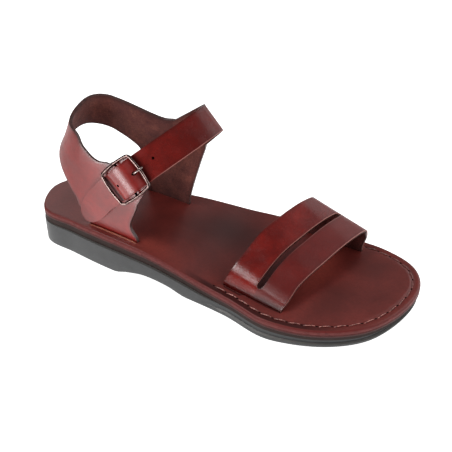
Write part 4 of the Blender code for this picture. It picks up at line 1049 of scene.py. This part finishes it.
def layer(name, levels, materials, cap_columns=0, relief=None):
    """Sole layer from rings (inset, height) bottom to top; the top can be a fine grid with relief."""
    mesh = bmesh.new()
    field, order, tone = [mesh.verts.layers.float.new(mark) for mark in ("inset", "ring", "patch_tone")]
    rings = []
    for place, (inset, height) in enumerate(levels):
        rings.append([])
        for point, normal in zip(RING, RING_NORMAL):
            x, y = point - normal * inset(point[0] / LENGTH)
            vert = mesh.verts.new(to_part(x, y, height(x / LENGTH)))
            vert[field], vert[order] = inset(seat_share(vert.co)) / MM, place
            rings[-1].append(vert)
    for low, high in zip(rings, rings[1:]):
        strip(mesh, low, high, closed=True)
    for ring, columns, upward in ((rings[0], 0, False), (rings[-1], cap_columns, True)):
        rows = []
        for i in range(STATIONS + 1):
            a, b = ring[i], ring[-i]
            inner = []
            for k in range(1, columns + 1):
                if a is not b:
                    p = a.co.lerp(b.co, k / (columns + 1))
                    p.z = levels[-1][1](seat_share(p))
                    inner.append(mesh.verts.new(p))
                    inner[-1][field], inner[-1][order] = CAP_INSET, len(levels)
            rows.append([a, *inner, b] if a is not b else [a] * (columns + 2))
        for low, high in zip(rows, rows[1:]):
            for k in range(columns + 1):
                face = list(dict.fromkeys((low[k], high[k], high[k + 1], low[k + 1])))
                if len(face) > 2:
                    mesh.faces.new(face if upward else face[::-1])
    for vert in mesh.verts:
        # paler patches: painted light; darker patches: darker places
        vert[tone] = sum(strength * patch(vert.co, *spot) for _, *spot, strength in SEAT_PATCHES)
        if relief:
            vert.co.z += relief(vert.co)
    return finish_mesh(name, mesh, *materials)


def flat(value):
    return lambda u: value


def between(low, high, share):
    return lambda u: lerp(low(u), high(u), share)


def raised(height, rise):
    return lambda u: height(u) + rise


def slot_lines():
    """Outer faces of the four strap roots where they meet the footbed, as lines in plan."""
    rows, _ = back_rows()
    lines = {"quarter_out": rows[1], "quarter_in": rows[-2]}
    for name, section in (("toe_out", TOE_BAND[0]), ("toe_in", TOE_BAND[-1])):
        ends = [to_part(section[k] * LENGTH, section[k + 1] * BALL_WIDTH, 0.0) for k in (1, 4)]
        lines[name] = blend_row(*ends, ROOT_POINTS)
    return {name: [p[:2] for p in line] for name, line in lines.items()}


SLOT_LINES = slot_lines()


def side_normals(line):
    """Normals in plan along a strap's root, turned away from the sole's axis."""
    middle = np.array([np.mean([p[0] for p in line]), SIDE_SHIFT])
    normals = []
    for before, p, after in zip([line[0]] + line, line, line[1:] + [line[-1]]):
        normal = left_of(unit(before - after))
        normals.append(-normal if normal.dot(middle - p) > 0 else normal)
    return normals


def slot_cutter(name, line, thickness):
    """Upright prism round a strap's root."""
    end = unit(line[-1] - line[0]) * FIT_GAP
    line = [line[0] - end, *line[1:-1], line[-1] + end]
    sides = list(zip(line, side_normals(line)))
    plan = [p + normal * SLOT_GAPE for p, normal in sides]
    plan += [p - normal * (thickness + FIT_GAP) for p, normal in sides[::-1]]
    mesh = bmesh.new()
    prism(mesh, [[(*p, seat_top(seat_share(p)) + rise) for p in plan]
                 for rise in (-FOOTBED - 2 * FIT_GAP, SLOT_CUT_TOP)])
    return finish_mesh(name, outward(mesh), RAW_SLOT)


def seat_relief(point):
    """Soft relief of the footbed: raised lips outside the slots, dips of heel and ball."""
    if point.z < seat_top(seat_share(point)) - SEAT_SKIN:
        return 0.0
    total = -sum(depth * MM * patch(point, *spot) for *spot, depth in SEAT_DIPS)
    for name, rise, reach in SLOT_LIPS:
        line = SLOT_LINES[name]
        side = 1.0 if line[0][1] > SIDE_SHIFT else -1.0
        if (point.y - line[len(line) // 2][1]) * side >= -LIP_INSIDE:
            near = min(near_line(np.array(point[:2]), a, b) for a, b in zip(line, line[1:]))
            total += rise * fading(near, reach)
    return total


def footbed():
    levels = [(flat(BASE_EDGE[0]), seat_base), (flat(0.0), raised(seat_base, BASE_EDGE[1]))]
    for share, inset in SIDE_LINE:
        levels.append((flat(inset * MM), raised(seat_base, share * (FOOTBED - RIM_ROUND))))
    for k in range(RIM_STEPS + 1):
        angle = math.pi / 2 * k / RIM_STEPS
        height = raised(seat_top, RIM_ROUND * (math.sin(angle) - 1))
        levels.append((flat(RIM_ROUND * (1 - math.cos(angle))), height))
    levels += [(flat(inset * MM), seat_top) for inset in SEAT_RINGS]
    item = layer("footbed", levels, (footbed_leather(), RAW_SLOT), SEAT_COLUMNS, seat_relief)
    sink_trough(item)
    for name, line in SLOT_LINES.items():
        thickness = BAND_LEATHER if name.startswith("toe") else UPPER_LEATHER
        cut(item, [slot_cutter(name + "_cutter", line, thickness)])
    stands_for(item, "insole")


def slot_lip():
    """Raw light edge of the slot beside the outer quarter."""
    line = SLOT_LINES["quarter_out"]
    points = []
    for p, normal in zip(line, side_normals(line)):
        spot = p + normal * (SLOT_GAPE + LIP_BEAD * LIP_BEAD_OUT)
        place = Vector((*spot, seat_top(seat_share(spot))))
        points.append((*spot, place.z + seat_relief(place) - LIP_BEAD * LIP_BEAD_SINK))
    mesh = bmesh.new()
    tube(mesh, points, [LIP_BEAD / 2, *[LIP_BEAD] * (len(line) - 2), LIP_BEAD / 2], LIP_SIDES)
    stands_for(finish_mesh("slot_lip", outward(mesh), RAW_SLOT))


def stitch_course():
    """Line of the stitches round the forefoot, on the footbed, with the run along it."""
    line = []
    for i, (point, normal) in enumerate(zip(RING, RING_NORMAL)):
        if point[0] >= LENGTH * (STITCH_START if i <= STATIONS else STITCH_END):
            line.append(point - normal * STITCH_INSET)
    run = np.cumsum(np.linalg.norm(np.diff(line, axis=0), axis=1))
    return np.array(line), np.concatenate([[0.0], run])


STITCH_LINE, STITCH_RUN = stitch_course()


def course_at(run):
    return np.array([np.interp(run, STITCH_RUN, values) for values in STITCH_LINE.T])


def sink_trough(item):
    """Presses a shallow trough into the footbed along the stitches."""
    marks = [course_at(STITCH_RUN[-1] * k / TROUGH_MARKS) for k in range(TROUGH_MARKS + 1)]
    tree = tree_of([to_part(*p, 0.0) for p in marks])
    for vert in item.data.vertices:
        if vert.co.z >= seat_top(seat_share(vert.co)) - RIM_ROUND:
            vert.co.z -= TROUGH_DEPTH * fading(tree.find((vert.co.x, vert.co.y, 0.0))[2], TROUGH_WIDTH)


def stitches():
    """Waxed thread in the trough, and flat dark discs at the needle holes between the stitches as painted
    shade.
    """
    threads, shade_discs = bmesh.new(), bmesh.new()
    total = STITCH_RUN[-1]
    count = int(round(total / STITCH_PITCH))
    pitch = total / count
    for i in range(count):
        start, end = i * pitch + STITCH_SPARE / 2, (i + 1) * pitch - STITCH_SPARE / 2
        slant = left_of(unit(course_at(end) - course_at(start))) * STITCH_SLANT
        points, radii = [], []
        for k in range(STITCH_POINTS):
            t = k / (STITCH_POINTS - 1)
            place, arch = course_at(lerp(start, end, t)), math.sin(math.pi * t)
            lift = (STITCH_LIFT + TROUGH_DEPTH) * arch ** 0.5 - TROUGH_DEPTH - THREAD * THREAD_SINK
            points.append(to_part(*(place + slant * (t - 0.5)), seat_top(place[0] / LENGTH) + lift))
            radii.append(THREAD * lerp(THREAD_END, 1.0, arch ** 0.4))
        tube(threads, points, radii, THREAD_SIDES)
    # flat dark discs at the needle holes: painted shade of the holes and the trough
    for i in range(count + 1):
        place = course_at(i * pitch)
        ahead = unit(course_at(min(i * pitch + MM, total)) - course_at(max(i * pitch - MM, 0.0)))
        height = seat_top(place[0] / LENGTH) - TROUGH_DEPTH * HOLE_DEPTH
        shade_discs.faces.new([shade_discs.verts.new(to_part(*(place + p), height))
                         for p in oval(HOLE_SIDES, ahead * HOLE_LONG, left_of(ahead) * HOLE_WIDE)])
    stands_for(finish_mesh("stitch_thread", outward(threads), thread()))
    stands_for(finish_mesh("stitch_hole_shade", outward(shade_discs), painted_hole_shade()))


def midsole():
    def inset(u):
        return BAND_INSET + max(recess(u), 0.0) / 2

    levels = [(inset, band_base), (inset, raised(band_top, LAYER_LAP))]
    stands_for(layer("band", levels, (midsole_rubber(),)), "midsole")


def outsole():
    def edge_top(u):
        return floor_side(u) + min(FLOOR_EDGE, LIP_SHARE / 2 * (rubber_top(u) - floor_side(u)))

    levels = []
    for k in range(FLOOR_STEPS + 1):
        angle = math.pi / 2 * k / FLOOR_STEPS
        levels.append((raised(rubber_edge, FLOOR_EDGE * (1 - math.sin(angle))),
                       between(floor_side, edge_top, 1 - math.cos(angle))))
    for back, share in RUBBER_SIDE:
        levels.append((between(rubber_edge, recess, back), between(floor_side, rubber_top, share)))
    levels.append((raised(recess, RUBBER_TUCK), raised(rubber_top, LAYER_LAP)))
    stands_for(layer("rubber_unit", levels, (sole_rubber(),)), "outsole")


# Straps

def mark_edges(mesh):
    """Stores each point's distance in mm to the sheet's cut edge, and 1 where that edge is a lower one."""
    field, lower = [mesh.verts.layers.float.new(mark) for mark in ("edge", "below")]
    rim = [v for v in mesh.verts if any(e.is_boundary for e in v.link_edges)]
    faces_up = []
    for v in rim:
        inner = [e.other_vert(v).co.z for e in v.link_edges if not e.is_boundary]
        faces_up.append(1.0 if inner and sum(inner) / len(inner) > v.co.z else 0.0)
    tree = tree_of([v.co for v in rim])
    for v in mesh.verts:
        _, nearest, distance = tree.find(v.co)
        v[field], v[lower] = distance / MM, faces_up[nearest]


def press_creases(mesh):
    """Soft listed ridges and troughs: each is a segment in the part's frame."""
    mesh.normal_update()
    moves = []
    for vert in mesh.verts:
        place, total = np.array(vert.co), 0.0
        for _, start, end, width, height in CREASES:
            near = near_line(place, np.array(start) * MM, np.array(end) * MM)
            total += height * MM * fading(near, width * MM)
        moves.append(vert.normal * total)
    for vert, move in zip(mesh.verts, moves):
        vert.co += move


def sheet(name, mesh, materials, thickness, probe):
    """Leather of that thickness behind its outer face, which is the one that faces the probe's way."""
    weld(mesh)
    outward(mesh)
    probe = Vector(probe)
    face = max(mesh.faces, key=lambda f: f.calc_center_median().dot(probe))
    if face.normal.dot(probe) < 0:
        bmesh.ops.reverse_faces(mesh, faces=mesh.faces)
    press_creases(mesh)
    mark_edges(mesh)
    item = finish_mesh(name, mesh, *materials)
    adjusted(item.modifiers.new("leather", "SOLIDIFY"), thickness=thickness, offset=-1.0,
             use_even_offset=True, use_quality_normals=True, material_offset=1, material_offset_rim=2)
    count = len(item.data.vertices)
    freeze(item)
    depth = item.data.attributes.new("depth", "FLOAT", "POINT")
    depth.data.foreach_set("value", [0.0 if i < count else 1.0 for i in range(len(item.data.vertices))])
    adjusted(item.modifiers.new("round", "BEVEL"), width=EDGE_ROUND, segments=ROUND_STEPS,
             limit_method="ANGLE", angle_limit=math.radians(ROUND_OVER), harden_normals=False,
             use_clamp_overlap=True)
    freeze(item)
    return item


def mark_strap(rows, strap, shade):
    """Stores 1 on the instep strap, and how much the buckle's frame shades it."""
    for vert in [v for row in rows for v in row]:
        away = np.array(vert.co) - BUCKLE_FOOT
        run, across = away.dot(STRAPWISE) / FRAME_HALF, away.dot(CROSSWISE) / FRAME_HALF
        reach = max(abs(run), abs(across))
        ends = SHADE_OUTSIDE if run > 0.0 else SHADE_BEHIND
        vert[strap], vert[shade] = 1.0, min(ramp(reach, *SHADE_INSIDE), 1.0 - ramp(reach, *ends))


def oval_hole(name, middle, direction, normal, length, width, depth):
    """Cutter for a punched hole, whose walls take its painted shade; sizes are half ones."""
    mesh = bmesh.new()
    plan = oval(PUNCH_SIDES, direction * length, np.cross(normal, direction) * width)
    rings = [[mesh.verts.new(middle + normal * lift + p) for p in plan] for lift in (-depth, depth)]
    strip(mesh, *rings, closed=True)
    for ring in rings:
        mesh.faces.new(ring)
    return finish_mesh(name, outward(mesh), HOLE_SHADE)


def back_upper():
    mesh = bmesh.new()
    marks = [mesh.verts.layers.float.new(mark) for mark in ("strap", "shade")]
    rows, place = back_rows()
    top = [row[-1] for row in add_grid(mesh, rows)]
    chape = top[place["out_fork_front"]:place["out_fork_rear"] + 1]
    half = STRAP_WIDTH / 2 + CHAPE_SPARE
    goal = blend_row(*(in_buckle(CHAPE_END * FRAME_HALF, side, 0.0) for side in (half, -half)), len(chape))
    ways = [(np.array(vert.co), end) for vert, end in zip(chape, goal)]
    add_grid(mesh, [[lerp(*way, k / CHAPE_ROWS) for way in ways] for k in range(1, CHAPE_ROWS + 1)], chape)
    fork = top[place["in_fork_rear"]:place["in_fork_front"] + 1]
    root = [np.array(v.co) for v in fork]
    strap = flowing([root] + strap_rows(root), STRAP_FINE)
    mark_strap(add_grid(mesh, strap[1:], fork)[1:], *marks)
    item = sheet("upper", mesh, (LEATHER_OUT, FLESH, CUT_UPPER), UPPER_LEATHER, (0.0, 1.0, 0.0))
    cut(item, [oval_hole(*row) for row in (
        ("prong_hole", in_buckle(HOLE_RUN * FRAME_HALF, 0.0, FRAME_HEIGHT * HOLE_LIFT), STRAPWISE, OUTWARD,
         HOLE_REACH, PRONG_WIRE / 2 + HOLE_PLAY, 2 * UPPER_LEATHER),
        ("tail_hole", in_buckle(*SPARE_ON_TAIL, FRAME_HEIGHT * SPARE_LIFT), STRAPWISE, OUTWARD,
         SPARE_HOLE, SPARE_HOLE, 2 * UPPER_LEATHER),
        ("strap_hole", np.array(SPARE_ON_STRAP) * MM, FLIGHT_ALONG, FLIGHT_NORMAL,
         SPARE_HOLE, SPARE_HOLE, PUNCH_SHALLOW * UPPER_LEATHER))])
    stands_for(item, "back_upper")


def sleeves():
    """Leather loops that hold the buckle's bar."""
    lines = []
    for radius in (SLEEVE_HALF + SLEEVE_LEATHER / 2, SLEEVE_HALF - SLEEVE_LEATHER / 2):
        arch = [math.pi * (1 - k / SLEEVE_STEPS) for k in range(SLEEVE_STEPS + 1)]
        lines.append([(-radius, -SLEEVE_SINK),
                      *((radius * math.cos(a), BAR_HEIGHT + radius * math.sin(a)) for a in arch),
                      (radius, -SLEEVE_SINK)])
    mesh = bmesh.new()
    for side in (1, -1):
        prism(mesh, [[in_buckle(strap, side * across, lift) for strap, lift in lines[0] + lines[1][::-1]]
                     for across in (SLEEVE_INNER_END, SLEEVE_OUTER_END)])
    stands_for(finish_mesh("bar_sleeves", outward(mesh), LEATHER_OUT))


def toe_band():
    course = Profile([(i, *row[1:]) for i, row in enumerate(TOE_BAND)])
    sections = {i / BAND_FINE for i in range((len(TOE_BAND) - 1) * BAND_FINE + 1)}
    for end, turn in ((SLOT_START, 1), (SLOT_END, -1)):
        sections |= {end + turn * SLOT_ROUND * share for share in SLOT_END_ROWS}
    mesh = bmesh.new()
    mark = mesh.verts.layers.float.new("front")
    halves = [[], []]
    for section in sorted(sections):
        places, gap = course.at(section), slot_half(section)
        rear, front = band_point(*places[:3]), band_point(*places[3:])
        low, high = SLOT_MIDDLE - gap, SLOT_MIDDLE + gap
        columns = ([v for v in BAND_COLUMNS if v < 0.5] + [low - SLOT_LIP_COLUMN, low],
                   [high, high + SLOT_LIP_COLUMN] + [v for v in BAND_COLUMNS if v > 0.5])
        for half, shares in zip(halves, columns):
            half.append([lerp(rear, front, v) for v in shares])
    for share, half in enumerate(halves):
        half[0], half[-1] = [[sunk(p) for p in half[end]] for end in (0, -1)]
        for vert in [v for row in add_grid(mesh, half) for v in row]:
            vert[mark] = share
    item = sheet("toe_band", mesh, (LEATHER_TOE, FLESH_TOE, CUT_TOE), BAND_LEATHER, (0.0, 0.0, 1.0))
    stands_for(item, "front_strap")


def buckle():
    straight, drop = FRAME_HALF - FRAME_CORNER, FRAME_HEIGHT - BAR_HEIGHT
    turns = [math.pi / 2 * k / CORNER_STEPS for k in range(CORNER_STEPS + 1)]
    corner = [(straight + FRAME_CORNER * math.cos(turn), straight + FRAME_CORNER * math.sin(turn))
              for turn in turns]
    corner += [(straight * (1 - 2 * share), FRAME_HALF + FRAME_BOW * math.sin(math.pi * share))
               for share in (0.25, 0.5, 0.75)]
    path = []
    for _ in range(4):
        path += [in_buckle(x, y, FRAME_HEIGHT) for x, y in corner]
        corner = [(-y, x) for x, y in corner]
    mesh = bmesh.new()
    tube(mesh, path, [WIRE / 2] * len(path), WIRE_SIDES, OUTWARD, closed=True)
    ends = [(FRAME_HALF - back * drop, BAR_HEIGHT + rise * drop) for back, rise in BAR_ENDS]
    bar = [(-across, lift) for across, lift in ends] + [(0.0, BAR_HEIGHT)] + ends[::-1]
    tube(mesh, [in_buckle(0.0, *p) for p in bar], [BAR_WIRE / 2] * len(bar), WIRE_SIDES, STRAPWISE)
    metal = dark_metal("buckle_look", (0.075, 0.048, 0.044), (0.21, 0.145, 0.135))
    stands_for(finish_mesh("buckle_wire", outward(mesh), metal), "buckle_frame")

    wrap = BAR_WIRE / 2 + FIT_GAP + PRONG_WIRE / 2
    top, rest = BAR_HEIGHT + wrap, FRAME_HEIGHT + WIRE / 2 + FIT_GAP + PRONG_WIRE / 2
    turns = [math.radians(lerp(*PRONG_WRAP, k / WRAP_STEPS)) for k in range(WRAP_STEPS + 1)]
    path = [(wrap * math.cos(turn), BAR_HEIGHT + wrap * math.sin(turn)) for turn in turns]
    for run, share, wires in PRONG_PATH:
        path.append((run * FRAME_HALF, lerp(top, rest, share) + wires * PRONG_WIRE))
    path = [in_buckle(run, 0.0, height) for run, height in smooth_rows(path, PRONG_FINE)]
    radii = [PRONG_WIRE / 2 * share for share in (*[1.0] * (len(path) - 2), *PRONG_TIP)]
    mesh = bmesh.new()
    tube(mesh, path, radii, WIRE_SIDES, CROSSWISE)
    metal = dark_metal("prong_look", (0.24, 0.19, 0.18), (0.48, 0.38, 0.36))
    stands_for(finish_mesh("prong_wire", outward(mesh), metal), "buckle_prong")


# Studio

def floor_plane():
    mesh = bmesh.new()
    mesh.faces.new([mesh.verts.new((x * FLOOR_HALF, y * FLOOR_HALF, 0.0))
                    for x, y in ((-1, -1), (1, -1), (1, 1), (-1, 1))])
    s = Shader("studio_floor")
    s.value(Base_Color=(0.9, 0.9, 0.9), Roughness=0.9, Specular_IOR_Level=0.0,
            Emission_Color=(1.0, 1.0, 1.0), Emission_Strength=FLOOR_GLOW)
    finish_mesh("floor", mesh, s.material)


def aim(item, target, azimuth, elevation, distance):
    """Puts a light or camera where its target sees it at that azimuth and elevation, and turns it there."""
    turn, tilt = math.radians(azimuth), math.radians(elevation)
    away = Vector((math.sin(turn) * math.cos(tilt), -math.cos(turn) * math.cos(tilt), math.sin(tilt)))
    item.location = Vector(target) + away * distance
    item.rotation_euler = away.to_track_quat("Z", "Y").to_euler()


def lights():
    world = bpy.data.worlds.new("studio")
    world.use_nodes = True
    sky = world.node_tree.nodes["Background"].inputs
    sky["Color"].default_value = (1.0, 1.0, 1.0, 1.0)
    sky["Strength"].default_value = WORLD_LIGHT
    bpy.context.scene.world = world
    for name, azimuth, elevation, distance, width, height, power in LIGHTS:
        data = adjusted(bpy.data.lights.new(name, "AREA"), shape="RECTANGLE", size=width, size_y=height,
                        energy=power)
        aim(new_object(name, data), LIGHT_AIM, azimuth, elevation, distance)


def camera():
    data = adjusted(bpy.data.cameras.new("camera"), lens=CAMERA_LENS, sensor_width=CAMERA_SENSOR)
    item = new_object("camera", data)
    aim(item, to_part(*CAMERA_TARGET), CAMERA_AZIMUTH, CAMERA_ELEVATION, CAMERA_DISTANCE)
    bpy.context.scene.camera = item


footbed()
midsole()
outsole()
stitches()
slot_lip()
toe_band()
back_upper()
sleeves()
buckle()

floor_plane()
lights()
camera()
bpy.context.scene.view_settings.view_transform = "Standard"
